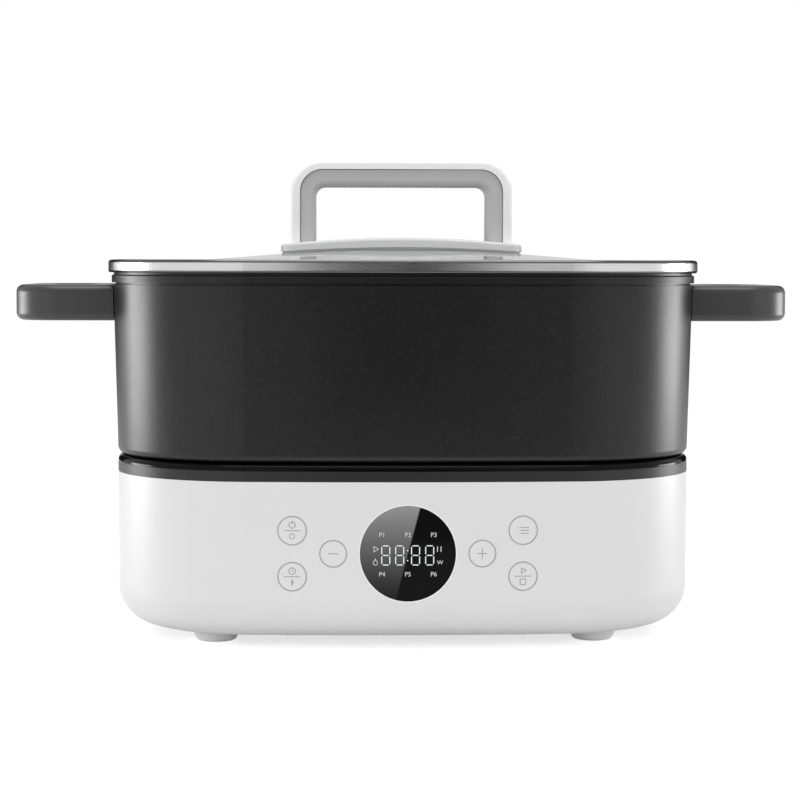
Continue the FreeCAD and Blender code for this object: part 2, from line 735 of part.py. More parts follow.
sketch = new_sketch(shell, "front_openings", role="XZ_Plane", offset=half_deep - s.board_set)
circle(sketch, 0, panel_level, s.lens_radius + s.lens_gap)
for x, z, radius in key_spots.values():
    circle(sketch, x, z, radius + s.key_gap)
pocket(shell, sketch, s.board_set + s.tip_room, along=True)
sketch = new_sketch(shell, "rear_opening", role="XZ_Plane", offset=s.inlet_deep - half_deep)
inlet_half = s.inlet_wide / 2 + s.inlet_gap
inlet_up = s.inlet_high / 2 + s.inlet_gap
rectangle(sketch, -inlet_half, s.inlet_level - inlet_up, inlet_half, s.inlet_level + inlet_up)
pocket(shell, sketch, s.inlet_deep + s.tip_room)
sketch = new_sketch(shell, "inlet_pilots", role="XZ_Plane", offset=s.inlet_deep - half_deep)
circle(sketch, s.inlet_screw_x, s.inlet_level, s.pilot_radius)
circle(sketch, -s.inlet_screw_x, s.inlet_level, s.pilot_radius)
pocket(shell, sketch, s.inlet_deep + s.tip_room)
board_spots = []
for side in (-1, 1):
    for rise in (-1, 1):
        board_spots.append((s.board_screw_x * side, panel_level + s.board_screw_z * rise))
sketch = new_sketch(shell, "board_posts", role="XZ_Plane", offset=half_deep - s.board_set)
for x, z in board_spots:
    circle(sketch, x, z, s.panel_post_radius)
pad(shell, sketch, s.board_set - s.panel_post_set)
sketch = new_sketch(shell, "board_pilots", role="XZ_Plane", offset=half_deep - s.board_set)
for x, z in board_spots:
    circle(sketch, x, z, s.board_pilot)
pocket(shell, sketch, s.board_screw_long, along=True)
keep("base_shell", shell)

# Bottom cover with cooling slots, posts for the power board and holes for feet and screws.
cover = new_body("bottom_cover")
sketch = new_sketch(cover, "cover_plan", offset=shell_low)
outline(sketch, -(s.cover_inset + s.cover_gap))
pad(cover, sketch, s.cover_thick)
sketch = new_sketch(cover, "cover_holes", offset=shell_low)
for x, y in cover_screw_spots:
    circle(sketch, x, y, s.screw_hole)
foot_x = half_wide - s.foot_inset_x
foot_y = half_deep - s.foot_inset_y
foot_spots = {
    "front_left_foot": (-foot_x, -foot_y),
    "front_right_foot": (foot_x, -foot_y),
    "rear_left_foot": (-foot_x, foot_y),
    "rear_right_foot": (foot_x, foot_y),
}
for x, y in foot_spots.values():
    circle(sketch, x, y, s.plug_radius + s.plug_play)
for row in range(-VENT_ROWS, VENT_ROWS + 1):
    vent_y = s.vent_set - half_deep + s.vent_pitch * row
    rectangle(sketch, -s.vent_half, vent_y - s.vent_wide / 2, s.vent_half, vent_y + s.vent_wide / 2)
pocket(cover, sketch, s.cover_thick, along=True)
power_spots = []
for side in (-1, 1):
    x = (s.power_half - s.power_post_in) * side
    power_spots.append((x, s.power_front + s.power_post_in))
    power_spots.append((x, s.power_front + s.power_deep - s.power_post_in))
sketch = new_sketch(cover, "power_posts", offset=shell_low + s.cover_thick)
for x, y in power_spots:
    circle(sketch, x, y, s.power_post_radius)
pad(cover, sketch, s.power_level - shell_low - s.cover_thick)
sketch = new_sketch(cover, "power_pilots", offset=s.power_level)
for x, y in power_spots:
    circle(sketch, x, y, s.board_pilot)
pocket(cover, sketch, s.board_screw_long + s.tip_room)
keep("bottom_cover", cover)

# Feet: soft bowls plugged into the cover.
plug_top = s.foot_height + s.cover_thick
for node, (x, y) in foot_spots.items():
    foot = new_body(node)
    sketch = new_sketch(foot, "foot_section", role="XZ_Plane")
    polygon(sketch, [
        (0, 0),
        (s.foot_tip_radius, 0),
        (s.foot_top_radius, s.foot_height),
        (s.plug_radius, s.foot_height),
        (s.plug_radius, plug_top),
        (s.plug_radius + s.snap_out, plug_top),
        (s.plug_radius + s.snap_out, plug_top + s.snap_high),
        (0, plug_top + s.snap_high),
    ])
    revolve(foot, sketch)
    fillet(foot, lambda edge: at_level(0)(edge) and edge.BoundBox.XLength > 1, s.foot_round)
    place(foot, x, y, 0)
    keep(node, foot)

screws = []
for x, y in cover_screw_spots:
    screws.append(screw_up(x, y, shell_low, s.screw_radius, s.cover_screw_long))
keep("cover_screws", group(screws))

# Dark trim band with a skirt that drops into the shell.
band = new_body("trim_band")
skirt_out = s.shell_wall + s.skirt_gap
skirt_in = skirt_out + s.skirt_wall
sketch = new_sketch(band, "band_plan", offset=shell_top)
outline(sketch)
outline(sketch, -skirt_in)
pad(band, sketch, s.band_height)
sketch = new_sketch(band, "band_skirt", offset=shell_top)
outline(sketch, -skirt_out)
outline(sketch, -skirt_in)
pad(band, sketch, s.skirt_drop, down=True)
keep("trim_band", band)

# Black deck: rounded shoulder, round opening, skirt and bosses for the heat shield.
deck = new_body("top_deck")
sketch = new_sketch(deck, "deck_plan", offset=band_top)
outline(sketch)
pad(deck, sketch, s.deck_thick)
fillet(deck, at_level(deck_top), s.deck_round)
sketch = new_sketch(deck, "deck_skirt", offset=band_top)
outline(sketch, -(skirt_in + s.skirt_gap))
outline(sketch, -(skirt_in + s.skirt_gap + s.skirt_wall))
pad(deck, sketch, s.skirt_drop, down=True)
pan_spots = ring_spots(pan_flange - s.flange_screw_in, PAN_SCREW_TURNS)
sketch = new_sketch(deck, "deck_bosses", offset=band_top)
for x, y in pan_spots:
    circle(sketch, x, y, s.pan_boss_radius)
pad(deck, sketch, s.pan_drop, down=True)
sketch = new_sketch(deck, "deck_opening", offset=deck_top)
circle(sketch, 0, 0, well_radius)
pocket(deck, sketch, s.deck_thick + s.tip_room)
sketch = new_sketch(deck, "deck_pilots", offset=pan_top)
for x, y in pan_spots:
    circle(sketch, x, y, s.pilot_radius)
pocket(deck, sketch, s.pan_drop + s.tip_room, along=True)


def well_edge(edge):
    return at_level(deck_top)(edge) and edge.BoundBox.XLength < well_radius.value * 2 + 1


fillet(deck, well_edge, s.well_round)
keep("top_deck", deck)

# Heating plate with a rib under it; the heater tube lies half sunk in the rib.
disc = new_body("heating_plate")
sketch = new_sketch(disc, "plate_section", role="XZ_Plane")
rib_near = tube_ring - s.rib_half
rib_far = tube_ring + s.rib_half
polygon(sketch, [
    (s.plate_hole, plate_low),
    (rib_near, plate_low),
    (rib_near, rib_low),
    (rib_far, rib_low),
    (rib_far, plate_low),
    (plate_radius, plate_low),
    (plate_radius, plate_top),
    (s.plate_hole, plate_top),
])
revolve(disc, sketch)


def plate_edge(edge):
    return at_level(plate_top)(edge) and edge.BoundBox.XLength > plate_radius.value


fillet(disc, plate_edge, s.well_round)
post_spots = ring_spots(post_ring, POST_TURNS)
pilot_long = s.post_screw_in + s.tip_room * 2
pilots = [rod(x, y, plate_low - s.tip_room, s.post_bore, pilot_long) for x, y in post_spots]
channel = doc.addObject("Part::Torus", unique("channel"))
bind(channel, "Radius1", tube_ring)
bind(channel, "Radius2", s.tube_radius + s.tube_play)
place(channel, 0, 0, rib_low)
keep("heating_plate", cut(disc, pilots + [channel]))

ring = doc.addObject("Part::Torus", unique("tube"))
bind(ring, "Radius1", tube_ring)
bind(ring, "Radius2", s.tube_radius)
ring.Angle3 = 360 - TERMINAL_TURNS[1] + TERMINAL_TURNS[0]
swing = FreeCAD.Rotation(FreeCAD.Vector(0, 0, 1), TERMINAL_TURNS[1])
ring.Placement = FreeCAD.Placement(FreeCAD.Vector(), swing)
place(ring, 0, 0, rib_low)
terminal_spots = ring_spots(tube_ring, TERMINAL_TURNS)
terminals = []
caps = []
for x, y in terminal_spots:
    terminals.append(rod(x, y, rib_low - s.terminal_long, s.terminal_radius, s.terminal_long))
    ball = doc.addObject("Part::Sphere", unique("cap"))
    bind(ball, "Radius", s.tube_radius)
    place(ball, x, y, rib_low)
    caps.append(ball)
keep("heater_tube", joined([ring] + caps + terminals))

# Silicone ring that closes the gap between plate and deck.
seal = new_body("plate_seal")
sketch = new_sketch(seal, "seal_section", role="XZ_Plane")
seal_low = band_top - s.seal_thick
polygon(sketch, [
    (plate_radius + s.seal_play, seal_low),
    (well_radius + s.seal_lip, seal_low),
    (well_radius + s.seal_lip, band_top),
    (well_radius - s.seal_play, band_top),
    (well_radius - s.seal_play, plate_top - s.seal_drop),
    (plate_radius + s.seal_play, plate_top - s.seal_drop),
])
revolve(seal, sketch)
keep("plate_seal", seal)

# Heat shield pan under the plate.
pan = new_body("heat_shield")
sketch = new_sketch(pan, "pan_section", role="XZ_Plane")
polygon(sketch, [
    (s.pan_hole, pan_low),
    (pan_radius + s.pan_sheet, pan_low),
    (pan_radius + s.pan_sheet, pan_top - s.pan_sheet),
    (pan_flange, pan_top - s.pan_sheet),
    (pan_flange, pan_top),
    (pan_radius, pan_top),
    (pan_radius, pan_low + s.pan_sheet),
    (s.pan_hole, pan_low + s.pan_sheet),
])
revolve(pan, sketch)
through = s.pan_sheet + s.tip_room * 2
floor_start = pan_low - s.tip_room
openings = [rod(x, y - s.lead_set, floor_start, s.lead_hole, through) for x, y in terminal_spots]
openings += [rod(x, y, floor_start, s.screw_hole, through) for x, y in post_spots]
openings += [rod(x, y, pan_top - s.pan_sheet - s.tip_room, s.screw_hole, through) for x, y in pan_spots]
keep("heat_shield", cut(pan, openings))

pan_face = pan_low + s.pan_sheet
posts = []
for x, y in post_spots:
    bar = rod(x, y, pan_face, s.post_radius, plate_low - pan_face)
    posts.append(cut(bar, [rod(x, y, pan_face, s.post_bore, plate_low - pan_face)]))
keep("plate_posts", group(posts))
screws = [screw_up(x, y, pan_top - s.pan_sheet, s.screw_radius, s.pan_screw_long) for x, y in pan_spots]
keep("shield_screws", group(screws))
post_screw_long = plate_low - pan_low + s.post_screw_in
screws = [screw_up(x, y, pan_low, s.post_screw_radius, post_screw_long) for x, y in post_spots]
keep("post_screws", group(screws))

# Sprung sensor in the middle: cup on the pan floor, cap with a stem, coil spring between.
probe_top = plate_top + s.dimple_depth - s.probe_lead
probe_low = probe_top - s.probe_thick
cup = new_body("sensor_holder")
sketch = new_sketch(cup, "cup_section", role="XZ_Plane")
cup_floor = pan_face + s.holder_floor
polygon(sketch, [
    (s.stem_radius + s.stem_gap, pan_face),
    (s.holder_radius, pan_face),
    (s.holder_radius, pan_face + s.holder_height),
    (s.holder_bore, pan_face + s.holder_height),
    (s.holder_bore, cup_floor),
    (s.stem_radius + s.stem_gap, cup_floor),
])
revolve(cup, sketch)
keep("sensor_holder", cup)
cap = new_body("sensor_probe")
sketch = new_sketch(cap, "probe_section", role="XZ_Plane")
stem_low = pan_face + s.probe_travel + s.stem_room
polygon(sketch, [
    (0, stem_low),
    (s.stem_radius, stem_low),
    (s.stem_radius, probe_low),
    (s.probe_radius, probe_low),
    (s.probe_radius, probe_top),
    (0, probe_top),
])
revolve(cap, sketch)
fillet(cap, lambda edge: at_level(probe_top)(edge) and edge.BoundBox.XLength > 1, s.probe_round)
keep("sensor_probe", cap)
spring_low = cup_floor + s.spring_wire
spring_high = probe_low - s.spring_wire - s.spring_play
coil = doc.addObject("Part::Helix", unique("coil"))
bind(coil, "Radius", s.spring_radius)
bind(coil, "Height", spring_high - spring_low)
bind(coil, "Pitch", (spring_high - spring_low) / SPRING_TURNS)
place(coil, 0, 0, spring_low)
wire_round = doc.addObject("Part::Circle", unique("wire"))
bind(wire_round, "Radius", s.spring_wire)
wire_round.Placement = FreeCAD.Placement(FreeCAD.Vector(), FreeCAD.Rotation(FreeCAD.Vector(1, 0, 0), 90))
place(wire_round, s.spring_radius, 0, spring_low)
spring = doc.addObject("Part::Sweep", unique("spring"))
spring.Sections = [wire_round]
spring.Spine = (coil, [])
spring.Solid = True
spring.Frenet = True
keep("sensor_spring", spring)

# Power board and what stands on it.
power_mid = s.power_front + s.power_deep / 2
power_face = s.power_level + s.board_thick
slab = block(0, power_mid, s.power_level, s.power_half * 2, s.power_deep, s.board_thick)
hole_long = s.board_thick + s.tip_room * 2
holes = [rod(x, y, s.power_level - s.tip_room, s.board_hole, hole_long) for x, y in power_spots]
keep("power_board", cut(slab, holes))
heads = []
for x, y in power_spots:
    shank = rod(x, y, power_face - s.board_screw_long, s.board_screw, s.board_screw_long)
    heads.append(joined([shank, rod(x, y, power_face, s.board_head, s.board_head_high)]))
keep("board_screws", group(heads))
core_low = power_face + s.core_rise
core = block(s.transformer_x, s.transformer_y, core_low, s.core_wide, s.core_deep, s.core_high)
winding = block(s.transformer_x, s.transformer_y, power_face, s.coil_wide, s.coil_deep, s.coil_high)
keep("transformer", joined([core, winding]))


def stepped_case(x, y, wide, deep, high):
    """Moulded case on the power board with a smaller step on top."""
    case = block(x, y, power_face, wide, deep, high)
    step = block(x, y, power_face + high, wide - s.case_step * 2, deep - s.case_step * 2, s.case_step_high)
    return joined([case, step])


keep("relay", stepped_case(s.relay_x, s.relay_y, s.relay_wide, s.relay_deep, s.relay_high))
storage = stepped_case(s.capacitor_x, s.capacitor_y, s.capacitor_wide, s.capacitor_deep, s.capacitor_high)
keep("capacitor", storage)
fuse_body = rod(s.fuse_x, s.fuse_y, power_face + s.fuse_rise, s.fuse_radius, s.fuse_long, way="rear")
fuse_clips = []
for clip_y in (s.fuse_y + s.clip_thick, s.fuse_y + s.fuse_long - s.clip_thick):
    fuse_clips.append(block(s.fuse_x, clip_y, power_face, s.clip_wide, s.clip_thick, s.clip_high))
keep("board_fuse", joined([fuse_body] + fuse_clips))
strip_y = terminal_spots[0][1] - s.lead_set
strip = block(0, strip_y, power_face, s.strip_wide, s.strip_deep, s.strip_high)
bore_low = power_face + s.strip_floor
bores = [rod(x, strip_y, bore_low, s.strip_bore, s.strip_high) for x, y in terminal_spots]
keep("terminal_strip", cut(strip, bores))

# Display board behind the front, with the display block and six key switches.
board_y = s.board_set - half_deep
board_low = panel_level - s.board_high / 2
slab = block(0, board_y + s.board_thick / 2, board_low, s.board_half * 2, s.board_thick, s.board_high)
holes = [rod(x, board_y - s.tip_room, z, s.board_hole, hole_long, way="rear") for x, z in board_spots]
keep("display_board", cut(slab, holes))
board_back = board_y + s.board_thick
heads = []
for x, z in board_spots:
    shank = rod(x, board_back - s.board_screw_long, z, s.board_screw, s.board_screw_long, way="rear")
    heads.append(joined([shank, rod(x, board_back, z, s.board_head, s.board_head_high, way="rear")]))
keep("display_screws", group(heads))
flange_front = s.shell_wall + s.key_play
lens_back = flange_front + s.lens_flange_thick
module_deep = s.board_set - lens_back - s.module_gap
module_low = panel_level - s.module_high / 2
module = block(0, board_y - module_deep / 2, module_low, s.module_wide, module_deep, s.module_high)
foot_wide = s.module_wide + s.module_rim * 2
foot_high = s.module_high + s.module_rim * 2
foot_low = module_low - s.module_rim
module_foot = block(0, board_y - s.module_foot / 2, foot_low, foot_wide, s.module_foot, foot_high)
keep("display_module", joined([module, module_foot]))
switches = []
for x, z, radius in key_spots.values():
    half = s.switch_side / 2
    body = block(x, board_y - s.switch_high / 2, z - half, s.switch_side, s.switch_high, s.switch_side)
    nib_y = board_y - s.switch_high - s.plunger_high
    nib = rod(x, nib_y, z, s.nib_radius, s.plunger_high + s.nib_sink, way="rear")
    switches.append(joined([body, nib]))
keep("key_switches", group(switches))


def bowed_disc(x, z, radius, front, back):
    """Round slice of the bowed front wall, between two depths under its face."""
    centre_y = s.side_bow - half_deep
    low = z - radius - s.tip_room
    high = (radius + s.tip_room) * 2
    bar = rod(x, -half_deep - s.tip_room, z, radius, s.board_set, way="rear")
    face = rod(0, centre_y, low, s.side_bow - front, high)
    inside = rod(0, centre_y, low, s.side_bow - back, high)
    return cut(shared(bar, face), [inside])


lens_front = bowed_disc(size(0), panel_level, s.lens_radius, 0, flange_front)
lens_rim = bowed_disc(size(0), panel_level, s.lens_radius + s.lens_flange, flange_front, lens_back)
keep("display_lens", joined([lens_front, lens_rim]))
stem_end = board_y - s.switch_high - s.plunger_high - s.key_travel - s.key_rest
flange_back = flange_front + s.key_flange_thick
for node, (x, z, radius) in key_spots.items():
    key_front = bowed_disc(x, z, radius, 0, flange_front)
    key_rim = bowed_disc(x, z, radius + s.key_flange, flange_front, flange_back)
    bow_drop = x * x / (s.side_bow * 2)
    stem_start = flange_front + s.key_flange_thick / 2 + bow_drop - half_deep
    stem = rod(x, stem_start, z, s.key_stem, stem_end - stem_start, way="rear")
    keep(node, joined([key_front, key_rim, stem]))

# Appliance inlet at the rear.
inlet_back = half_deep - s.inlet_deep
inlet_low = s.inlet_level - s.inlet_high / 2
housing = block(0, half_deep - s.inlet_deep / 2, inlet_low, s.inlet_wide, s.inlet_deep, s.inlet_high)
frame_low = s.inlet_level - s.inlet_rim_high / 2
frame_y = half_deep + s.inlet_flange / 2
frame = block(0, frame_y, frame_low, s.inlet_rim_wide, s.inlet_flange, s.inlet_rim_high)
inlet_face = half_deep + s.inlet_flange
cavity_deep = s.inlet_deep + s.inlet_flange - s.inlet_wall
cavity_wide = s.inlet_wide - s.inlet_wall * 2
cavity_high = s.inlet_high - s.inlet_wall * 2
cavity_start = inlet_face - cavity_deep
cavity_y = cavity_start + (cavity_deep + s.tip_room) / 2
cavity = block(0, cavity_y, inlet_low + s.inlet_wall, cavity_wide, cavity_deep + s.tip_room, cavity_high)
line_level = s.inlet_level - s.pin_down
pin_spots = [(-s.pin_across, line_level), (s.pin_across, line_level), (size(0), s.inlet_level + s.pin_up)]
hole_wide = s.pin_thick + s.pin_play * 2
hole_high = s.pin_high + s.pin_play * 2
hole_deep = (s.inlet_wall + s.tip_room) * 2
pins = []
pin_holes = []
for x, z in pin_spots:
    pin_holes.append(block(x, inlet_back, z - hole_high / 2, hole_wide, hole_deep, hole_high))
    pin_y = inlet_back - s.pin_tail + s.pin_long / 2
    pins.append(block(x, pin_y, z - s.pin_high / 2, s.pin_thick, s.pin_long, s.pin_high))
screw_holes = []
screws = []
for side in (-1, 1):
    x = s.inlet_screw_x * side
    hole_y = half_deep - s.tip_room
    hole_long = s.inlet_flange + s.tip_room * 2
    screw_holes.append(rod(x, hole_y, s.inlet_level, s.inlet_screw_hole, hole_long, way="rear"))
    tip_y = inlet_face - s.inlet_screw_long
    shank = rod(x, tip_y, s.inlet_level, s.screw_radius, s.inlet_screw_long, way="rear")
    head = rod(x, inlet_face, s.inlet_level, s.screw_head, s.head_high, way="rear")
    slot_long = (s.screw_head - s.slot_margin) * 2
    slot_y = inlet_face + s.head_high
    slot = block(x, slot_y, s.inlet_level - s.slot_wide / 2, slot_long, s.slot_deep * 2, s.slot_wide)
    screws.append(cut(joined([shank, head]), [slot]))
keep("inlet_housing", cut(joined([housing, frame]), [cavity] + pin_holes + screw_holes))
keep("inlet_pins", group(pins))
keep("inlet_screws", group(screws))

# Leads inside the base: heater tube to the strip, and inlet pins to the strip.
heater_set = []
tag_low = rib_low - s.tag_drop
lead_low = bore_low + s.lead_bury
for x, y in terminal_spots:
    lead = rod(x, strip_y, lead_low, s.lead_radius, tag_low + s.lead_bury - lead_low)
    tag = block(x, y - s.lead_set / 2, tag_low, s.tag_wide, s.tag_deep, s.tag_wide)
    heater_set.append(joined([lead, tag]))
keep("heater_leads", group(heater_set))
mains = []
mains_start = strip_y + s.strip_deep / 2
for x, z in pin_spots[:2]:
    run = inlet_back - s.pin_tail - mains_start
    mains.append(rod(x, mains_start, z, s.lead_radius, run, way="rear"))
keep("mains_leads", group(mains))

# Pot: tapered wall, neck groove, top band with a narrow lip, contact pad, and lugs for the handles.
pot = new_body("pot_body")
low_plan = new_sketch(pot, "pot_foot", offset=pot_low)
outline(low_plan, s.pot_foot_offset)
neck_plan = new_sketch(pot, "pot_neck", offset=neck_low)
outline(neck_plan, s.pot_neck_offset)
loft(pot, [low_plan, neck_plan])
fillet(pot, at_level(pot_low), s.pot_round)
sketch = new_sketch(pot, "groove_plan", offset=neck_low)
outline(sketch, s.pot_neck_offset - s.groove_depth)
pad(pot, sketch, s.groove_height)
sketch = new_sketch(pot, "band_plan", offset=neck_top)
outline(sketch, s.pot_band_offset)
pad(pot, sketch, s.pot_band_height)
fillet(pot, at_level(pot_band_top), s.pot_band_round)
sketch = new_sketch(pot, "lip_plan", offset=pot_band_top)
outline(sketch, s.pot_mouth_offset + s.pot_lip_width)
pad(pot, sketch, s.pot_lip_height)
sketch = new_sketch(pot, "pad_plan", offset=pot_low)
circle(sketch, 0, 0, plate_radius)
pad(pot, sketch, pot_low - plate_top, down=True)
lug_level = neck_low - s.handle_below - s.handle_thick / 2 - s.lug_height / 2
floor_level = pot_low + s.pot_floor
inner_low = new_sketch(pot, "pot_floor_plan", offset=floor_level)
outline(inner_low, s.pot_foot_offset - s.pot_wall_low)
inner_top = new_sketch(pot, "pot_mouth", offset=pot_top)
outline(inner_top, s.pot_mouth_offset)
loft(pot, [inner_low, inner_top], kind="PartDesign::SubtractiveLoft")
fillet(pot, at_level(floor_level), s.pot_inner_round)
sketch = new_sketch(pot, "dimple_plan", offset=plate_top)
circle(sketch, 0, 0, s.dimple_radius)
pocket(pot, sketch, s.dimple_depth, along=True)
keep("pot_body", pot)
lug_x = half_wide + s.lug_out - s.lug_screw_in
lugs = []
for side in (-1, 1):
    for along in (-1, 1):
        x = (half_wide + s.lug_out / 2) * side
        blank = block(x, s.lug_along * along, lug_level, s.lug_out, s.lug_half * 2, s.lug_height)
        pilot = rod(lug_x * side, s.lug_along * along, lug_level - s.tip_room, s.lug_pilot, s.lug_height)
        lugs.append(cut(blank, [pot, pilot]))
keep("handle_lugs", group(lugs))

# Side handles: D loops, cut to the pot wall with a fine gap, hollowed for the lugs.
envelope = new_body("pot_envelope")
low_plan = new_sketch(envelope, "envelope_foot", offset=pot_low)
outline(low_plan, s.pot_foot_offset + s.handle_gap)
neck_plan = new_sketch(envelope, "envelope_neck", offset=neck_low)
outline(neck_plan, s.pot_neck_offset + s.handle_gap)
loft(envelope, [low_plan, neck_plan])
handle_top = neck_low - s.handle_below
handle_low = handle_top - s.handle_thick
handle_screws = []
for node, side in (("left_handle", -1), ("right_handle", 1)):
    loop = new_body(node)
    sketch = new_sketch(loop, "handle_plan", offset=handle_low)
    near = (half_wide - s.handle_root) * side
    far = (half_wide + s.handle_reach) * side
    rectangle(sketch, far if side < 0 else near, -s.handle_half, near if side < 0 else far, s.handle_half)
    pad(loop, sketch, s.handle_thick)
    fillet(loop, upright(half_wide + s.handle_reach, s.handle_half), s.handle_corner)
    sketch = new_sketch(loop, "finger_plan", offset=handle_low)
    near = (half_wide + s.finger_near) * side
    far = (half_wide + s.finger_far) * side
    rectangle(sketch, far if side < 0 else near, -s.finger_half, near if side < 0 else far, s.finger_half)
    pocket(loop, sketch, s.handle_thick, along=True)
    fillet(loop, upright(half_wide + s.finger_far, s.finger_half), s.finger_far_round)
    fillet(loop, upright(half_wide + s.finger_near, s.finger_half), s.finger_near_round)
    inner_side = half_wide.value - s.handle_root.value + 1

    def rim_edge(edge):
        flat = at_level(handle_low)(edge) or at_level(handle_top)(edge)
        return flat and abs(edge.CenterOfMass.x) > inner_side

    fillet(loop, rim_edge, s.handle_edge)
    tools = [envelope]
    for along in (-1, 1):
        y = s.lug_along * along
        x = (half_wide + s.lug_out / 2) * side
        wide = s.lug_out + s.lug_gap * 2
        deep = s.lug_half * 2 + s.lug_gap * 2
        tools.append(block(x, y, lug_level - s.lug_gap, wide, deep, s.lug_height + s.lug_gap * 2))
        tools.append(rod(lug_x * side, y, handle_low, s.handle_screw_hole, s.handle_thick / 2))
        tools.append(rod(lug_x * side, y, handle_low, s.handle_screw_well, s.handle_screw_sink))
        head_face = handle_low + s.handle_screw_sink
        handle_screws.append(screw_up(lug_x * side, y, head_face, s.handle_screw, s.handle_screw_long))
    keep(node, cut(loop, tools))
keep("handle_screws", group(handle_screws))

# Lid glass: flat edge, domed middle of even thickness, two holes for the handle screws.
DOME_STEPS = (0.95, 0.8, 0.62, 0.44, 0.2)
inset = s.cover_band + s.grip_gap
grip_outer = s.grip_half + s.leg_thick
bridge_half = grip_outer + inset
plate_half = bridge_half + s.plate_over
lid_screw_x = s.grip_half + s.leg_thick / 2
glass = new_body("lid_glass")
glass_offset = s.rim_offset - s.rim_skin - s.glass_gap
sketch = new_sketch(glass, "glass_plan", offset=glass_low)
outline(sketch, glass_offset)
pad(glass, sketch, s.glass_thick)


def dome_level(share):
    return s.dome_rise * ((1 + math.cos(math.pi * share)) / 2 - (1 + math.cos(math.pi * DOME_STEPS[0])) / 2)


sections = []
for share in DOME_STEPS:
    sketch = new_sketch(glass, "dome_plan", offset=glass_edge + dome_level(share))
    outline(sketch, 0.0, share)
    sections.append(sketch)
loft(glass, sections, ruled=False)
sections = []
for share in DOME_STEPS:
    sketch = new_sketch(glass, "hollow_plan", offset=glass_low + dome_level(share))
    outline(sketch, 0.0, share)
    sections.append(sketch)
loft(glass, sections, kind="PartDesign::SubtractiveLoft", ruled=False)
sketch = new_sketch(glass, "glass_holes", offset=glass_low)
circle(sketch, lid_screw_x, 0, s.lid_hole)
circle(sketch, -lid_screw_x, 0, s.lid_hole)
pocket(glass, sketch, s.glass_thick + s.dome_rise, along=True)
keep("lid_glass", glass)
glass_peak = glass_edge + dome_level(DOME_STEPS[-1])

# Lid rim: steel channel folded round the glass edge, with a bead inside the pot mouth.
rim = new_body("lid_rim")
sketch = new_sketch(rim, "rim_plan", offset=pot_top)
outline(sketch, s.rim_offset)
pad(rim, sketch, s.rim_height)
fillet(rim, at_level(rim_top), s.rim_top_round)
fillet(rim, at_level(pot_top), s.rim_low_round)
bead_offset = s.pot_mouth_offset - s.bead_gap
sketch = new_sketch(rim, "bead_plan", offset=pot_top)
outline(sketch, bead_offset)
pad(rim, sketch, s.bead_drop, down=True)
sketch = new_sketch(rim, "rim_inside", offset=rim_top)
outline(sketch, s.rim_inner_offset)
pocket(rim, sketch, s.rim_height + s.bead_drop + s.tip_room)
channel_body = new_body("rim_channel")
sketch = new_sketch(channel_body, "channel_plan", offset=glass_low)
outline(sketch, s.rim_offset - s.rim_skin)
pad(channel_body, sketch, s.rim_height - s.rim_lip * 2)
keep("lid_rim", cut(rim, [channel_body]))


# Handle plate and its gasket: curved strips bent over the dome.
def curved_strip(stem, low_mid, low_sag, high_mid, high_sag, half, deep):
    body = new_body(stem)
    sketch = new_sketch(body, stem + "_section", role="XZ_Plane")
    corners = []
    for mid, sag, sign in ((low_mid, low_sag, 1), (high_mid, high_sag, -1)):
        radius = half * half / (sag * 2) + sag / 2
        centre = FreeCAD.Vector(0, mid.value - radius.value, 0)
        swing = math.asin(half.value / radius.value)
        arc = Part.Circle(centre, FreeCAD.Vector(0, 0, 1), radius.value)
        index = sketch.addGeometry(Part.ArcOfCircle(arc, math.pi / 2 - swing, math.pi / 2 + swing))
        sketch.addConstraint(Sketcher.Constraint("PointOnObject", index, 3, -2))
        tie(sketch, "DistanceY", (index, 3), mid - radius)
        tie(sketch, "Radius", (index,), radius)
        tie(sketch, "DistanceX", (index, 1), half)
        tie(sketch, "DistanceX", (index, 2), -half)
        corners.append((index, FreeCAD.Vector(half.value, mid.value - sag.value, 0)))
    for pick, side in ((1, 1), (2, -1)):
        begin = FreeCAD.Vector(corners[0][1].x * side, corners[0][1].y, 0)
        end = FreeCAD.Vector(corners[1][1].x * side, corners[1][1].y, 0)
        index = sketch.addGeometry(Part.LineSegment(begin, end))
        sketch.addConstraint(Sketcher.Constraint("Coincident", index, 1, corners[0][0], pick))
        sketch.addConstraint(Sketcher.Constraint("Coincident", index, 2, corners[1][0], pick))
    pad(body, sketch, deep, both=True)
    return body


strip_low = glass_peak + s.plate_clear
strip_high = strip_low + s.plate_mid
saddle = curved_strip("handle_plate", strip_low, s.plate_low_sag, strip_high, s.plate_top_sag,
                      plate_half, s.plate_deep)
fillet(saddle, upright(plate_half, s.plate_deep / 2), s.plate_corner)


def plate_upper(edge):
    plate_end = strip_high.value - s.plate_top_sag.value
    return edge.BoundBox.ZMin > plate_end - s.arch_lift.value


fillet(saddle, plate_upper, s.plate_edge)
hole_long = strip_high - glass_low + s.tip_room
way_radius = s.lid_screw_radius + s.lid_screw_play
screw_ways = [rod(lid_screw_x * side, 0, glass_low, way_radius, hole_long) for side in (-1, 1)]
keep("handle_plate", cut(saddle, screw_ways))
gasket_half = plate_half - s.gasket_in
gasket_deep = s.plate_deep - s.gasket_in * 2
cushion = curved_strip("plate_gasket", strip_low - s.gasket_sink, s.plate_low_sag, strip_low, s.plate_low_sag,
                       gasket_half, gasket_deep)
fillet(cushion, upright(gasket_half, gasket_deep / 2), s.plate_corner - s.gasket_in)
keep("plate_gasket", cut(cushion, [glass] + screw_ways))


# Bridge handle: an outer band over an inner grip.
def arch(stem, half, inner, top, under, deep):
    body = new_body(stem)
    sketch = new_sketch(body, stem + "_section", role="XZ_Plane")
    foot = strip_low + s.arch_lift
    polygon(sketch, [
        (-half, foot), (-inner, foot), (-inner, under), (inner, under),
        (inner, foot), (half, foot), (half, top), (-half, top),
    ])
    pad(body, sketch, deep, both=True)
    return body


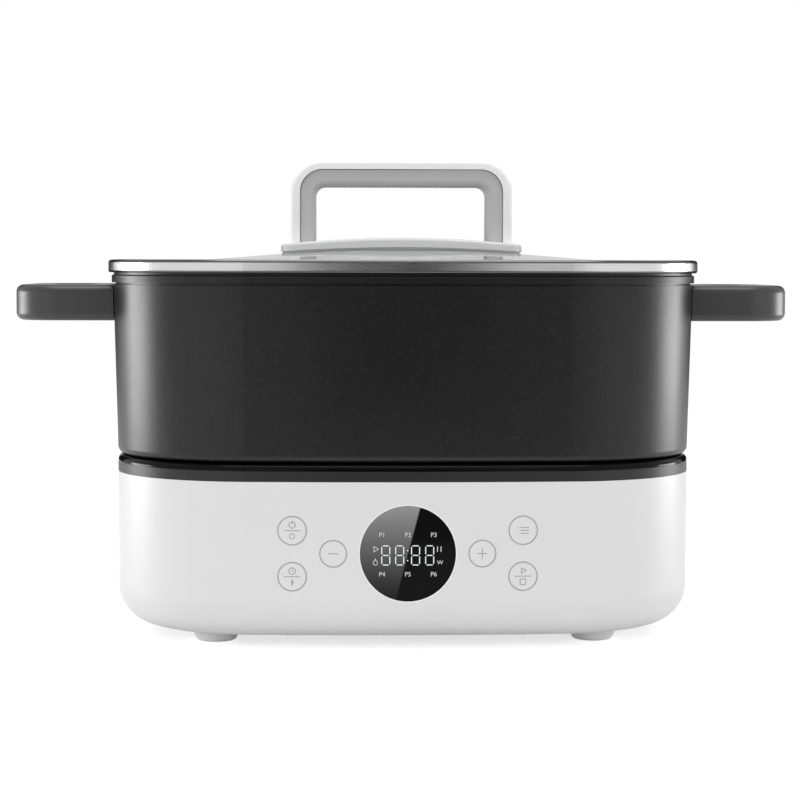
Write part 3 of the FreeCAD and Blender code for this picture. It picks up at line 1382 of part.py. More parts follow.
bridge_top = glass_peak + s.bridge_rise
cover_half = bridge_half - s.cover_band
cover_low = bridge_top - s.cover_band
outer = arch("handle_cover", bridge_half, cover_half, bridge_top, cover_low, s.cover_deep)
fillet(outer, crosswise(bridge_half, bridge_top), s.bridge_round)
fillet(outer, crosswise(cover_half, cover_low), s.bridge_round - s.cover_band)


def outer_rim(edge):
    middle = edge.CenterOfMass
    if abs(abs(middle.y) - s.cover_deep.value / 2) > 1e-3:
        return False
    if abs(abs(middle.x) - bridge_half.value) < 1e-3 or abs(middle.z - bridge_top.value) < 1e-3:
        return True
    corner = math.hypot(abs(middle.x) - bridge_half.value + s.bridge_round.value,
                        middle.z - bridge_top.value + s.bridge_round.value)
    inner_corner = s.bridge_round.value - s.cover_band.value
    return edge.Curve.TypeId == "Part::GeomCircle" and corner > inner_corner + 1


fillet(outer, outer_rim, s.cover_edge)
keep("handle_cover", cut(outer, [saddle]))
grip_top = bridge_top - inset
grip_low = grip_top - s.grip_thick
grip = arch("handle_grip", grip_outer, s.grip_half, grip_top, grip_low, s.grip_deep)
fillet(grip, crosswise(grip_outer, grip_top), s.bridge_round - inset)
fillet(grip, crosswise(s.grip_half, grip_low), s.grip_round)


def inner_rim(edge):
    middle = edge.CenterOfMass
    if abs(abs(middle.y) - s.grip_deep.value / 2) > 1e-3:
        return False
    if abs(abs(middle.x) - s.grip_half.value) < 1e-3 or abs(middle.z - grip_low.value) < 1e-3:
        return True
    corner = math.hypot(abs(middle.x) - s.grip_half.value + s.grip_round.value,
                        middle.z - grip_low.value + s.grip_round.value)
    return edge.Curve.TypeId == "Part::GeomCircle" and abs(corner - s.grip_round.value) < 1


fillet(grip, inner_rim, s.grip_edge)
pilot_long = glass_peak - glass_low + s.lid_screw_in + s.tip_room
pilot_radius = s.lid_screw_radius + s.lid_screw_bite
grip_holes = [rod(lid_screw_x * side, 0, glass_low, pilot_radius, pilot_long) for side in (-1, 1)]
keep("handle_grip", cut(grip, [saddle] + grip_holes))

# Washers under the glass and the lid screws through them.
washers = []
lid_screws = []
head_face = glass_low + dome_level(lid_screw_x.value / half_wide.value) - s.washer_drop
lid_screw_long = glass_peak - head_face + s.lid_screw_in
for side in (-1, 1):
    x = lid_screw_x * side
    bore = rod(x, 0, head_face, way_radius, s.washer_thick)
    washers.append(cut(rod(x, 0, head_face, s.washer_radius, s.washer_thick), [bore, glass]))
    screw = screw_up(x, 0, head_face, s.lid_screw_radius, lid_screw_long, s.lid_head, s.lid_head_high)
    lid_screws.append(screw)
keep("lid_washers", group(washers))
keep("lid_screws", group(lid_screws))

doc.recompute()
problems = []
for item in doc.Objects:
    if "Invalid" in item.State or "Error" in item.State:
        problems.append("%s is %s" % (item.Label, item.State))
for node, item in nodes.items():
    if item.Shape.isNull() or not item.Shape.isValid() or not item.Shape.Solids:
        problems.append("%s has no valid solid" % node)
if problems:
    raise RuntimeError("; ".join(problems))

os.makedirs("parts", exist_ok=True)
for node, item in nodes.items():
    item.Shape.exportStep("parts/%s.step" % node)
print("%d nodes written" % len(nodes))
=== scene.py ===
import bpy
import json
import math
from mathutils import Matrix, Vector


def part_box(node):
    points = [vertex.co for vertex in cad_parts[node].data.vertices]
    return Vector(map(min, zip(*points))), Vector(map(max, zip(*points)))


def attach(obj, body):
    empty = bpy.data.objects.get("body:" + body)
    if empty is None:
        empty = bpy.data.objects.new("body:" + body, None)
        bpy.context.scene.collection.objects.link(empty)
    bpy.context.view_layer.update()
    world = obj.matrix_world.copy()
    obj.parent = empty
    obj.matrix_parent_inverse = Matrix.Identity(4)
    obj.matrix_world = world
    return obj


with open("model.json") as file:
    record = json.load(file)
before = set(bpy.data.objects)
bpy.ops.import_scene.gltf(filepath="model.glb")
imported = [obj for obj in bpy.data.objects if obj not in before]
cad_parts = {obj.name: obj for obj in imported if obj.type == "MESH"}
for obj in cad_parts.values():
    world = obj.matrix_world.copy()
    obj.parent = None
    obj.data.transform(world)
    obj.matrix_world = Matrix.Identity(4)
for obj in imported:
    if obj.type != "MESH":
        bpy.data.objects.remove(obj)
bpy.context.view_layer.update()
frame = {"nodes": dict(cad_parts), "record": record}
nodes = frame["nodes"]
print("frame loaded with", len(nodes), "nodes")

mm = 0.001
quarterTurn = math.pi / 2
white = (1.0, 1.0, 1.0, 1.0)
mixSockets = dict(first=6, second=7, result=2)  # the Mix node's colour sockets share their names with others


def middleOf(node):
    low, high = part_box(node)
    return (low[0] + high[0]) / 2, (low[2] + high[2]) / 2


# small helpers for building shader trees

def feed(tree, entry, socket):
    # a socket is linked, a plain value is set
    if isinstance(entry, bpy.types.NodeSocket):
        tree.links.new(entry, socket)
    else:
        socket.default_value = entry


def addMath(tree, operation, first, second):
    step = tree.nodes.new("ShaderNodeMath")
    step.operation = operation
    feed(tree, first, step.inputs[0])
    feed(tree, second, step.inputs[1])
    return step.outputs["Value"]


def addRange(tree, value, before, after=(0.0, 1.0)):
    # maps the span before on to the span after and stops at its ends
    step = tree.nodes.new("ShaderNodeMapRange")
    feed(tree, value, step.inputs["Value"])
    for label, entry in zip(("From Min", "From Max", "To Min", "To Max"), (*before, *after)):
        feed(tree, entry, step.inputs[label])
    return step.outputs["Result"]


def addNoise(tree, vector, scale, detail):
    noise = tree.nodes.new("ShaderNodeTexNoise")
    feed(tree, vector, noise.inputs["Vector"])
    feed(tree, scale, noise.inputs["Scale"])
    feed(tree, detail, noise.inputs["Detail"])
    return noise.outputs["Fac"]


def addPlace(tree):
    return tree.nodes.new("ShaderNodeTexCoord").outputs["Object"]


def addSplit(tree):
    split = tree.nodes.new("ShaderNodeSeparateXYZ")
    feed(tree, addPlace(tree), split.inputs["Vector"])
    return split.outputs


# shader groups, each built once and placed in the materials that use it

def newGroup(name, inputs, output):
    tree = bpy.data.node_groups.new(name, "ShaderNodeTree")
    for label, value in inputs.items():
        socket = tree.interface.new_socket(label, in_out="INPUT", socket_type="NodeSocketFloat")
        socket.default_value = value
    tree.interface.new_socket(output, in_out="OUTPUT", socket_type="NodeSocketFloat")
    start = tree.nodes.new("NodeGroupInput")
    end = tree.nodes.new("NodeGroupOutput")
    return tree, start.outputs, end.inputs[output]


def makeGrainGroup():
    # even fine grain, as moulded plastic has
    tree, start, end = newGroup("fineGrain", {"Scale": 800.0, "Detail": 2.0}, "Height")
    feed(tree, addNoise(tree, addPlace(tree), start["Scale"], start["Detail"]), end)
    return tree


def makeHandlingGroup():
    # broad uneven patches that wiping and handling leave in a finish
    look = dict(detail=4.0, span=(0.3, 0.7))
    tree, start, end = newGroup("handling", {"Scale": 14.0, "Low": 0.3, "High": 0.4}, "Value")
    noise = addNoise(tree, addPlace(tree), start["Scale"], look["detail"])
    feed(tree, addRange(tree, noise, look["span"], (start["Low"], start["High"])), end)
    return tree


def makeSpeckleGroup():
    # scattered fine flakes, as in a sprayed coat
    tree, start, end = newGroup("speckle", {"Scale": 1600.0, "Share": 0.3, "Size": 0.35}, "Mask")
    cells = tree.nodes.new("ShaderNodeTexVoronoi")
    pick = tree.nodes.new("ShaderNodeSeparateColor")
    feed(tree, addPlace(tree), cells.inputs["Vector"])
    feed(tree, start["Scale"], cells.inputs["Scale"])
    feed(tree, cells.outputs["Color"], pick.inputs["Color"])
    chosen = addMath(tree, "LESS_THAN", pick.outputs["Red"], start["Share"])
    near = addMath(tree, "LESS_THAN", cells.outputs["Distance"], start["Size"])
    feed(tree, addMath(tree, "MULTIPLY", chosen, near), end)
    return tree


def makeBrushGroup():
    # fine drawn lines of a brushed metal, running with X
    look = dict(scale=1.0, detail=3.0)
    tree, start, end = newGroup("brushLines", {"Along": 30.0, "Across": 2600.0}, "Height")
    stretch = tree.nodes.new("ShaderNodeCombineXYZ")
    scaled = tree.nodes.new("ShaderNodeVectorMath")
    scaled.operation = "MULTIPLY"
    feed(tree, start["Along"], stretch.inputs["X"])
    feed(tree, start["Along"], stretch.inputs["Y"])
    feed(tree, start["Across"], stretch.inputs["Z"])
    feed(tree, addPlace(tree), scaled.inputs[0])
    feed(tree, stretch.outputs["Vector"], scaled.inputs[1])
    feed(tree, addNoise(tree, scaled.outputs["Vector"], look["scale"], look["detail"]), end)
    return tree


grainGroup = makeGrainGroup()
handlingGroup = makeHandlingGroup()
speckleGroup = makeSpeckleGroup()
brushGroup = makeBrushGroup()


def useGroup(tree, group, **values):
    # every group has one output
    holder = tree.nodes.new("ShaderNodeGroup")
    holder.node_tree = group
    for label, value in values.items():
        holder.inputs[label].default_value = value
    return holder.outputs[0]


# finishes

def newMaterial(name):
    material = bpy.data.materials.new(name)
    material.use_nodes = True
    return material, material.node_tree, material.node_tree.nodes["Principled BSDF"]


def mixColors(tree, mask, first, second):
    mix = tree.nodes.new("ShaderNodeMix")
    mix.data_type = "RGBA"
    mix.inputs[mixSockets["first"]].default_value = (*first, 1.0)
    mix.inputs[mixSockets["second"]].default_value = (*second, 1.0)
    feed(tree, mask, mix.inputs["Factor"])
    return mix.outputs[mixSockets["result"]]


def addGloss(tree, shader, scale, span):
    gloss = useGroup(tree, handlingGroup, Scale=scale, Low=span[0], High=span[1])
    feed(tree, gloss, shader.inputs["Roughness"])


def addBump(tree, shader, height, strength, distance):
    bump = tree.nodes.new("ShaderNodeBump")
    bump.inputs["Strength"].default_value = strength
    bump.inputs["Distance"].default_value = distance
    feed(tree, height, bump.inputs["Height"])
    feed(tree, bump.outputs["Normal"], shader.inputs["Normal"])


surfaceSettings = dict(toneScale=9.0, glossScale=22.0, brushDeep=0.02 * mm, grainDeep=0.05 * mm)
surfaceLooks = {
    "white_plastic": dict(color=(0.775, 0.775, 0.775), tint=(0.76, 0.76, 0.76), gloss=(0.30, 0.36),
                          grain=1500.0, bump=0.05, specular=0.45),
    "grey_trim": dict(color=(0.014, 0.014, 0.0145), tint=(0.017, 0.017, 0.0175), gloss=(0.34, 0.40),
                      grain=1800.0, bump=0.06, specular=0.4),
    "black_gloss": dict(color=(0.002, 0.002, 0.002), tint=(0.003, 0.003, 0.003), gloss=(0.12, 0.16),
                        grain=1200.0, bump=0.03, specular=0.12),
    "black_satin": dict(color=(0.038, 0.038, 0.038), tint=(0.044, 0.044, 0.044), gloss=(0.32, 0.38),
                        grain=1700.0, bump=0.10, specular=0.50),
    "plain_aluminium": dict(color=(0.66, 0.66, 0.67), tint=(0.60, 0.60, 0.61), gloss=(0.30, 0.42),
                            metal=1.0, grain=700.0, bump=0.12),
    "steel": dict(color=(0.80, 0.80, 0.80), tint=(0.75, 0.75, 0.755), gloss=(0.21, 0.27),
                  metal=1.0, brush=(25.0, 2600.0), bump=0.06),
    "light_grey": dict(color=(0.95, 0.95, 0.95), tint=(0.93, 0.93, 0.93), gloss=(0.32, 0.40),
                       grain=1600.0, bump=0.08, specular=0.45),
    "plate_grey": dict(color=(0.74, 0.74, 0.74), tint=(0.72, 0.72, 0.72), gloss=(0.34, 0.42),
                       grain=1600.0, bump=0.08, specular=0.4),
    "mid_grey": dict(color=(0.53, 0.53, 0.53), tint=(0.51, 0.51, 0.51), gloss=(0.40, 0.48),
                     grain=1600.0, bump=0.10, specular=0.4),
    "dark_rubber": dict(color=(0.018, 0.018, 0.018), tint=(0.026, 0.026, 0.026), gloss=(0.60, 0.72),
                        grain=1100.0, bump=0.20),
    "pale_rubber": dict(color=(0.90, 0.90, 0.90), tint=(0.87, 0.87, 0.87), gloss=(0.50, 0.62),
                        grain=1100.0, bump=0.15),
    "board_green": dict(color=(0.015, 0.10, 0.035), tint=(0.012, 0.08, 0.03), gloss=(0.30, 0.42),
                        grain=500.0, bump=0.10),
    "part_grey": dict(color=(0.035, 0.035, 0.04), tint=(0.05, 0.05, 0.055), gloss=(0.45, 0.55),
                      grain=1200.0, bump=0.12),
    "part_yellow": dict(color=(0.60, 0.40, 0.035), tint=(0.54, 0.35, 0.03), gloss=(0.40, 0.52),
                        grain=1200.0, bump=0.10),
    "brass": dict(color=(0.58, 0.38, 0.13), tint=(0.50, 0.32, 0.11), gloss=(0.25, 0.36),
                  metal=1.0, brush=(40.0, 1500.0), bump=0.05),
    "lead_skin": dict(color=(0.48, 0.46, 0.42), tint=(0.42, 0.40, 0.37), gloss=(0.50, 0.60),
                      grain=900.0, bump=0.15),
}


def makeSurface(name, look):
    # one finish: two close tones, an uneven gloss and a grain or drawn lines
    material, tree, shader = newMaterial(name)
    tone = useGroup(tree, handlingGroup, Scale=surfaceSettings["toneScale"], Low=0.0, High=1.0)
    feed(tree, mixColors(tree, tone, look["color"], look["tint"]), shader.inputs["Base Color"])
    addGloss(tree, shader, surfaceSettings["glossScale"], look["gloss"])
    shader.inputs["Metallic"].default_value = look.get("metal", 0.0)
    shader.inputs["Specular IOR Level"].default_value = look.get("specular", 0.5)
    if "brush" in look:
        along, across = look["brush"]
        lines = useGroup(tree, brushGroup, Along=along, Across=across)
        addBump(tree, shader, lines, look["bump"], surfaceSettings["brushDeep"])
    else:
        grain = useGroup(tree, grainGroup, Scale=look["grain"])
        addBump(tree, shader, grain, look["bump"], surfaceSettings["grainDeep"])
    return material


coatSettings = dict(color=(0.0025, 0.0025, 0.0027), flake=(0.016, 0.016, 0.017), flakeScale=1500.0, flakeShare=0.30,
                    flakeSize=0.46, gloss=(0.33, 0.37), glossScale=16.0, specular=0.45, grain=1400.0, detail=3.0,
                    bump=0.22, deep=0.05 * mm)


def makeCoat(look):
    # dark sprayed coat of the pot with fine pale flakes
    material, tree, shader = newMaterial("coated_aluminium")
    flakes = useGroup(tree, speckleGroup, Scale=look["flakeScale"], Share=look["flakeShare"], Size=look["flakeSize"])
    feed(tree, mixColors(tree, flakes, look["color"], look["flake"]), shader.inputs["Base Color"])
    addGloss(tree, shader, look["glossScale"], look["gloss"])
    shader.inputs["Specular IOR Level"].default_value = look["specular"]
    grain = useGroup(tree, grainGroup, Scale=look["grain"], Detail=look["detail"])
    addBump(tree, shader, grain, look["bump"], look["deep"])
    return material


# edge is painted shade on the rim's rolled edges, face is the steel's own tone
rimSettings = dict(face=(0.86, 0.86, 0.86), edge=(0.12, 0.12, 0.122), gloss=(0.18, 0.23), glossScale=22.0,
                   soft=0.6 * mm, lowRoll=6.1 * mm, highRoll=1.4 * mm, lip=0.35 * mm,
                   along=30.0, across=2600.0, bump=0.08, deep=0.02 * mm)


def makeRim(look):
    # drawn steel band whose rolled edges carry painted shade, darker than its face
    material, tree, shader = newMaterial("rim_steel_painted_shade")
    height = addSplit(tree)["Z"]
    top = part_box("lid_rim")[1][2]
    low = top - look["lowRoll"]
    high = top - look["highRoll"]
    lip = top - look["lip"]
    aboveLow = addRange(tree, height, (low, low + look["soft"]))
    belowHigh = addRange(tree, height, (high, high - look["soft"]))
    onLip = addRange(tree, height, (lip, lip + look["lip"] / 2))  # the flat lip on top is left clear of the painted shade
    clearOfPaintedShade = addMath(tree, "MAXIMUM", addMath(tree, "MULTIPLY", aboveLow, belowHigh), onLip)
    feed(tree, mixColors(tree, clearOfPaintedShade, look["edge"], look["face"]), shader.inputs["Base Color"])
    addGloss(tree, shader, look["glossScale"], look["gloss"])
    shader.inputs["Metallic"].default_value = 1.0
    lines = useGroup(tree, brushGroup, Along=look["along"], Across=look["across"])
    addBump(tree, shader, lines, look["bump"], look["deep"])
    return material


glassSettings = dict(color=(0.93, 0.96, 0.955), ior=1.46, wipe=(0.0, 0.035), wipeScale=12.0)


def makeGlass(look):
    # clear toughened glass with the faintest wipe marks
    material, tree, shader = newMaterial("clear_glass")
    shader.inputs["Base Color"].default_value = (*look["color"], 1.0)
    shader.inputs["Transmission Weight"].default_value = 1.0
    shader.inputs["IOR"].default_value = look["ior"]
    addGloss(tree, shader, look["wipeScale"], look["wipe"])
    return material


# the pale tone, lean, height, falloff and edge shape a painted reflection on the lens
lensSettings = dict(dark=(0.006, 0.006, 0.006), paintedReflection=(0.300, 0.300, 0.300), lean=0.262, high=24.0 * mm, falloff=1.9,
                    lowest=0.16, edge=0.3 * mm, gloss=(0.05, 0.09), glossScale=30.0, specular=0.05)


def makeLens(look):
    # black lens film with a painted reflection: a paler half, cut by a leaning line, that fades downwards, stands in
    # for a softbox mirrored in the lens
    material, tree, shader = newMaterial("display_lens")
    place = addSplit(tree)
    rise = addMath(tree, "SUBTRACT", place["Z"], middleOf("display_lens")[1])
    leftOf = addMath(tree, "SUBTRACT", addMath(tree, "MULTIPLY", rise, look["lean"]), place["X"])
    onLeft = addRange(tree, leftOf, (-look["edge"], look["edge"]))
    fade = addRange(tree, rise, (-look["high"], look["high"]), (look["lowest"], 1.0))
    paintedSheen = addMath(tree, "MULTIPLY", onLeft, addMath(tree, "POWER", fade, look["falloff"]))
    feed(tree, mixColors(tree, paintedSheen, look["dark"], look["paintedReflection"]), shader.inputs["Base Color"])
    addGloss(tree, shader, look["glossScale"], look["gloss"])
    shader.inputs["Specular IOR Level"].default_value = look["specular"]
    return material


inkSettings = dict(grain=2500.0, dim=0.9, gloss=0.5)
inkLooks = {
    "lit_marks": dict(color=(0.72, 0.74, 0.74), glow=0.35),
    "label_marks": dict(color=(0.58, 0.59, 0.59), glow=0.24),
    "printed_marks": dict(color=(0.33, 0.33, 0.33), glow=0.0),
    "printed_rings": dict(color=(0.42, 0.42, 0.42), glow=0.0),
    # near-white ink for the ring round the lens, a painted highlight standing in for light caught on the chamfer of
    # the hole
    "lens_highlight_ring": dict(color=(0.96, 0.96, 0.96), glow=0.0),
}


def makeInk(name, look):
    # lit or printed marks
    material, tree, shader = newMaterial(name)
    grain = useGroup(tree, grainGroup, Scale=inkSettings["grain"])
    dimmed = tuple(part * inkSettings["dim"] for part in look["color"])
    tone = mixColors(tree, grain, look["color"], dimmed)
    feed(tree, tone, shader.inputs["Base Color"])
    if look["glow"]:
        feed(tree, tone, shader.inputs["Emission Color"])
        shader.inputs["Emission Strength"].default_value = look["glow"]
    shader.inputs["Roughness"].default_value = inkSettings["gloss"]
    return material


finishes = {name: makeSurface(name, look) for name, look in surfaceLooks.items()}
finishes["coated_aluminium"] = makeCoat(coatSettings)
finishes["clear_glass"] = makeGlass(glassSettings)
inks = {name: makeInk(name, look) for name, look in inkLooks.items()}
wornBy = {entry["node"]: finishes[entry["material_slot"]] for entry in frame["record"]["subparts"]}
wornBy["display_lens"] = makeLens(lensSettings)
wornBy["lid_rim"] = makeRim(rimSettings)
wornBy["handle_plate"] = finishes["plate_grey"]
wornBy["plate_gasket"] = finishes["mid_grey"]
for node, finish in wornBy.items():
    for slot in nodes[node].material_slots:
        slot.material = finish
print("finishes set on", len(wornBy), "nodes")


# flat marks for the keys and the display, drawn in the front view and laid on the faces

markSettings = dict(ahead=-200.0 * mm, lift=0.03 * mm, ink=0.04 * mm, point=0.48, around=72, boltLean=0.45)


def clearSelection():
    bpy.ops.object.select_all(action="DESELECT")


def editAll():
    bpy.ops.object.mode_set(mode="EDIT")
    bpy.ops.mesh.select_all(action="SELECT")


def leaveEdit():
    bpy.ops.object.mode_set(mode="OBJECT")


def addDisc(corners, radius, fill="NGON"):
    clearSelection()
    bpy.ops.mesh.primitive_circle_add(vertices=corners, radius=radius, fill_type=fill)
    return bpy.context.object


def turnInEdit(angle):
    bpy.ops.transform.rotate(value=angle, orient_axis="Z", center_override=(0.0, 0.0, 0.0))


def hollowOut(width):
    # leaves only a line of this width along the edge of the selected face
    bpy.ops.mesh.inset(thickness=width)
    bpy.ops.mesh.delete(type="FACE")


def standUp(piece, x, z):
    # from lying on the floor grid to standing in the front view, in front of the cooker
    piece.rotation_euler = (quarterTurn, 0.0, 0.0)
    piece.location = (x, markSettings["ahead"], z)
    clearSelection()
    piece.select_set(True)
    bpy.context.view_layer.objects.active = piece
    bpy.ops.object.transform_apply(location=True, rotation=True, scale=True)
    return piece


def addBar(x, z, wide, high, turn=0.0):
    # short bar with pointed ends, by bevelling the corners of a plane
    clearSelection()
    bpy.ops.mesh.primitive_plane_add(size=1.0)
    bar = bpy.context.object
    bar.scale = (wide, high, 1.0)
    bpy.ops.object.transform_apply(location=False, rotation=False, scale=True)
    editAll()
    bpy.ops.mesh.bevel(offset=min(wide, high) * markSettings["point"], affect="VERTICES", segments=1)
    if turn:
        turnInEdit(turn)
    leaveEdit()
    return standUp(bar, x, z)


def addRing(x, z, radius, width):
    ring = addDisc(markSettings["around"], radius)
    editAll()
    hollowOut(width)
    leaveEdit()
    return standUp(ring, x, z)


def addTriangle(x, z, radius, width):
    # play sign pointing right
    sign = addDisc(3, radius)
    editAll()
    turnInEdit(quarterTurn)
    hollowOut(width)
    leaveEdit()
    return standUp(sign, x, z)


flameSettings = dict(around=20, radius=0.36, tip=0.34)  # radius and tip in shares of the height


def addFlame(x, z, high, width):
    # drop with a drawn-up tip, kept as an outline
    look = flameSettings
    flame = addDisc(look["around"], high * look["radius"])
    tip = max(flame.data.vertices, key=lambda v: v.co.y).index
    bpy.ops.object.mode_set(mode="EDIT")
    bpy.ops.mesh.select_all(action="DESELECT")
    leaveEdit()
    flame.data.vertices[tip].select = True
    bpy.ops.object.mode_set(mode="EDIT")
    bpy.ops.transform.translate(value=(0.0, high * look["tip"], 0.0))
    bpy.ops.mesh.select_all(action="SELECT")
    hollowOut(width)
    leaveEdit()
    return standUp(flame, x, z)


boltShares = dict(shift=0.02, rise=0.20, armWide=0.16, armHigh=0.58, middleWide=0.46, middleHigh=0.13)


def addBolt(x, z, high):
    # lightning sign from two leaning bars and a level one, in shares of its height
    look = {label: share * high for label, share in boltShares.items()}
    lean = markSettings["boltLean"]
    upper = addBar(x - look["shift"], z + look["rise"], look["armWide"], look["armHigh"], turn=lean)
    lower = addBar(x + look["shift"], z - look["rise"], look["armWide"], look["armHigh"], turn=lean)
    middle = addBar(x, z, look["middleWide"], look["middleHigh"])
    return [upper, lower, middle]


def addWords(x, z, words, high):
    clearSelection()
    bpy.ops.object.text_add()
    label = bpy.context.object
    label.data.body = words
    label.data.size = high
    label.data.align_x = "CENTER"
    label.data.align_y = "CENTER"
    label.data.resolution_u = 3  # small letters need few steps
    bpy.ops.object.convert(target="MESH")
    return standUp(bpy.context.object, x, z)


def wrapOn(piece, node):
    # pushes a flat piece straight back on to the node's face
    wrap = piece.modifiers.new("lay", "SHRINKWRAP")
    wrap.target = nodes[node]
    wrap.wrap_method = "PROJECT"
    wrap.use_project_y = True
    wrap.use_positive_direction = True
    wrap.use_negative_direction = False
    wrap.offset = markSettings["lift"]
    bpy.ops.object.modifier_apply(modifier=wrap.name)


def addHoop(x, z, outer, inner, node):
    # ring round a hole: its outer edge lies on the face, its inner edge reaches over the gap at the same depth
    hoop = standUp(addDisc(markSettings["around"], outer, fill="NOTHING"), x, z)
    wrapOn(hoop, node)
    editAll()
    bpy.ops.mesh.extrude_region()
    bpy.ops.transform.resize(value=(inner / outer, 1.0, inner / outer), center_override=(x, 0.0, z))
    leaveEdit()
    return hoop


def layOn(pieces, name, node, body, material):
    # joins the flat marks, lays them on the node's face unless they lie there, and gives them an ink's thickness
    clearSelection()
    for piece in pieces:
        piece.select_set(True)
    bpy.context.view_layer.objects.active = pieces[0]
    if len(pieces) > 1:
        bpy.ops.object.join()
    marks = bpy.context.object
    marks.name = name
    marks.data.name = name
    if node:
        wrapOn(marks, node)
    skin = marks.modifiers.new("ink", "SOLIDIFY")
    skin.thickness = markSettings["ink"]
    skin.offset = 0.0
    bpy.ops.object.modifier_apply(modifier=skin.name)
    editAll()
    bpy.ops.mesh.normals_make_consistent(inside=False)
    leaveEdit()
    marks.data.materials.clear()
    marks.data.materials.append(material)
    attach(marks, body)


displaySettings = dict(digitWide=4.1 * mm, digitHigh=9.8 * mm, stroke=0.50 * mm, gap=0.85 * mm,
                       digitAt=(-11.3 * mm, -4.2 * mm, 3.9 * mm, 11.1 * mm), drop=0.8 * mm,
                       colonSide=-0.15 * mm, colonRise=(2.5 * mm, -2.6 * mm), colonSize=0.8 * mm,
                       rowUp=9.6 * mm, rowDown=-10.6 * mm, rowHigh=3.3 * mm, rowStep=13.2 * mm,
                       iconAt=16.6 * mm, iconUp=2.4 * mm, iconDown=-4.6 * mm, iconLine=0.32 * mm,
                       playRadius=1.9 * mm, flameHigh=3.6 * mm,
                       pauseAt=16.0 * mm, pauseHalf=0.9 * mm, pauseWide=0.42 * mm, pauseHigh=3.0 * mm,
                       unitAt=16.4 * mm, unitHigh=3.0 * mm)


def addDigit(x, z, look):
    # a plain eight from seven bars
    wide = look["digitWide"]
    high = look["digitHigh"]
    stroke = look["stroke"]
    bars = []
    for rise in (-high / 2, 0.0, high / 2):
        bars.append(addBar(x, z + rise, wide - look["gap"], stroke))
    for side in (-wide / 2, wide / 2):
        for rise in (-high / 4, high / 4):
            bars.append(addBar(x + side, z + rise, stroke, high / 2 - look["gap"]))
    return bars


def makeDisplay(look):
    x, z = middleOf("display_lens")
    middle = z - look["drop"]
    marks = []
    for place in look["digitAt"]:
        marks += addDigit(x + place, middle, look)
    for rise in look["colonRise"]:
        marks.append(addBar(x + look["colonSide"], middle + rise, look["colonSize"], look["colonSize"]))
    layOn(marks, "display_digits", "display_lens", "base", inks["lit_marks"])
    up = z + look["iconUp"]
    down = z + look["iconDown"]
    marks = []
    for row, labels in ((look["rowUp"], ("P1", "P2", "P3")), (look["rowDown"], ("P4", "P5", "P6"))):
        for step, label in zip((-1, 0, 1), labels):
            marks.append(addWords(x + step * look["rowStep"], z + row, label, look["rowHigh"]))
    marks.append(addTriangle(x - look["iconAt"], up, look["playRadius"], look["iconLine"]))
    marks.append(addFlame(x - look["iconAt"], down, look["flameHigh"], look["iconLine"]))
    for side in (-look["pauseHalf"], look["pauseHalf"]):
        marks.append(addBar(x + look["pauseAt"] + side, up, look["pauseWide"], look["pauseHigh"]))
    marks.append(addWords(x + look["unitAt"], down, "W", look["unitHigh"]))
    layOn(marks, "display_labels", "display_lens", "base", inks["label_marks"])


keySettings = dict(line=0.38 * mm, divider=8.6 * mm, sign=5.2 * mm, row=2.9 * mm, icon=3.6 * mm, listDot=0.456 * mm)
iconShares = dict(powerRing=0.50, stemRise=0.35, stemHigh=0.55, lowRing=0.42,  # all in shares of the icon's size
                  clockRing=0.52, longRise=0.14, longHigh=0.34, shortSide=0.12, shortWide=0.30,
                  listStep=0.42, listSide=0.22, listWide=1.25, dotSide=-0.72, play=0.55, stop=0.80)


def printKey(name, marks):
    layOn(marks, name + "_key_marks", name + "_key", name + "_button", inks["printed_marks"])


def makeKeyMarks(look):
    line = look["line"]
    row = look["row"]
    sign = look["sign"]
    divider = look["divider"]
    icon = {label: share * look["icon"] for label, share in iconShares.items()}
    x, z = middleOf("power_key")
    marks = [addBar(x, z, divider, line), addRing(x, z + row, icon["powerRing"], line)]
    marks.append(addBar(x, z + row + icon["stemRise"], line, icon["stemHigh"]))
    marks.append(addRing(x, z - row, icon["lowRing"], line))
    printKey("power", marks)
    x, z = middleOf("timer_key")
    marks = [addBar(x, z, divider, line), addRing(x, z + row, icon["clockRing"], line)]
    marks.append(addBar(x, z + row + icon["longRise"], line, icon["longHigh"]))
    marks.append(addBar(x + icon["shortSide"], z + row, icon["shortWide"], line))
    marks += addBolt(x, z - row, look["icon"])
    printKey("timer", marks)
    x, z = middleOf("minus_key")
    printKey("minus", [addBar(x, z, sign, line)])
    x, z = middleOf("plus_key")
    printKey("plus", [addBar(x, z, sign, line), addBar(x, z, line, sign)])
    x, z = middleOf("mode_key")
    marks = []
    for step in (-1, 0, 1):
        level = z + step * icon["listStep"]
        marks.append(addBar(x + icon["listSide"], level, icon["listWide"], line))
        marks.append(addBar(x + icon["dotSide"], level, look["listDot"], look["listDot"]))
    printKey("mode", marks)
    x, z = middleOf("start_key")
    marks = [addBar(x, z, divider, line), addTriangle(x, z + row, icon["play"], line)]
    for side in (-icon["stop"] / 2, icon["stop"] / 2):
        marks.append(addBar(x + side, z - row, line, icon["stop"]))
        marks.append(addBar(x, z - row + side, icon["stop"], line))
    printKey("start", marks)


ringSettings = dict(flange=1.2 * mm, gap=0.35 * mm, overhang=0.24 * mm, width=0.50 * mm,
                    lensFlange=2.0 * mm, lensGap=0.15 * mm, paintedHighlight=0.62 * mm)


def seenRadius(node, flange):
    # the face is smaller than the flange behind the wall
    low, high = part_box(node)
    return (high[0] - low[0]) / 2 - flange


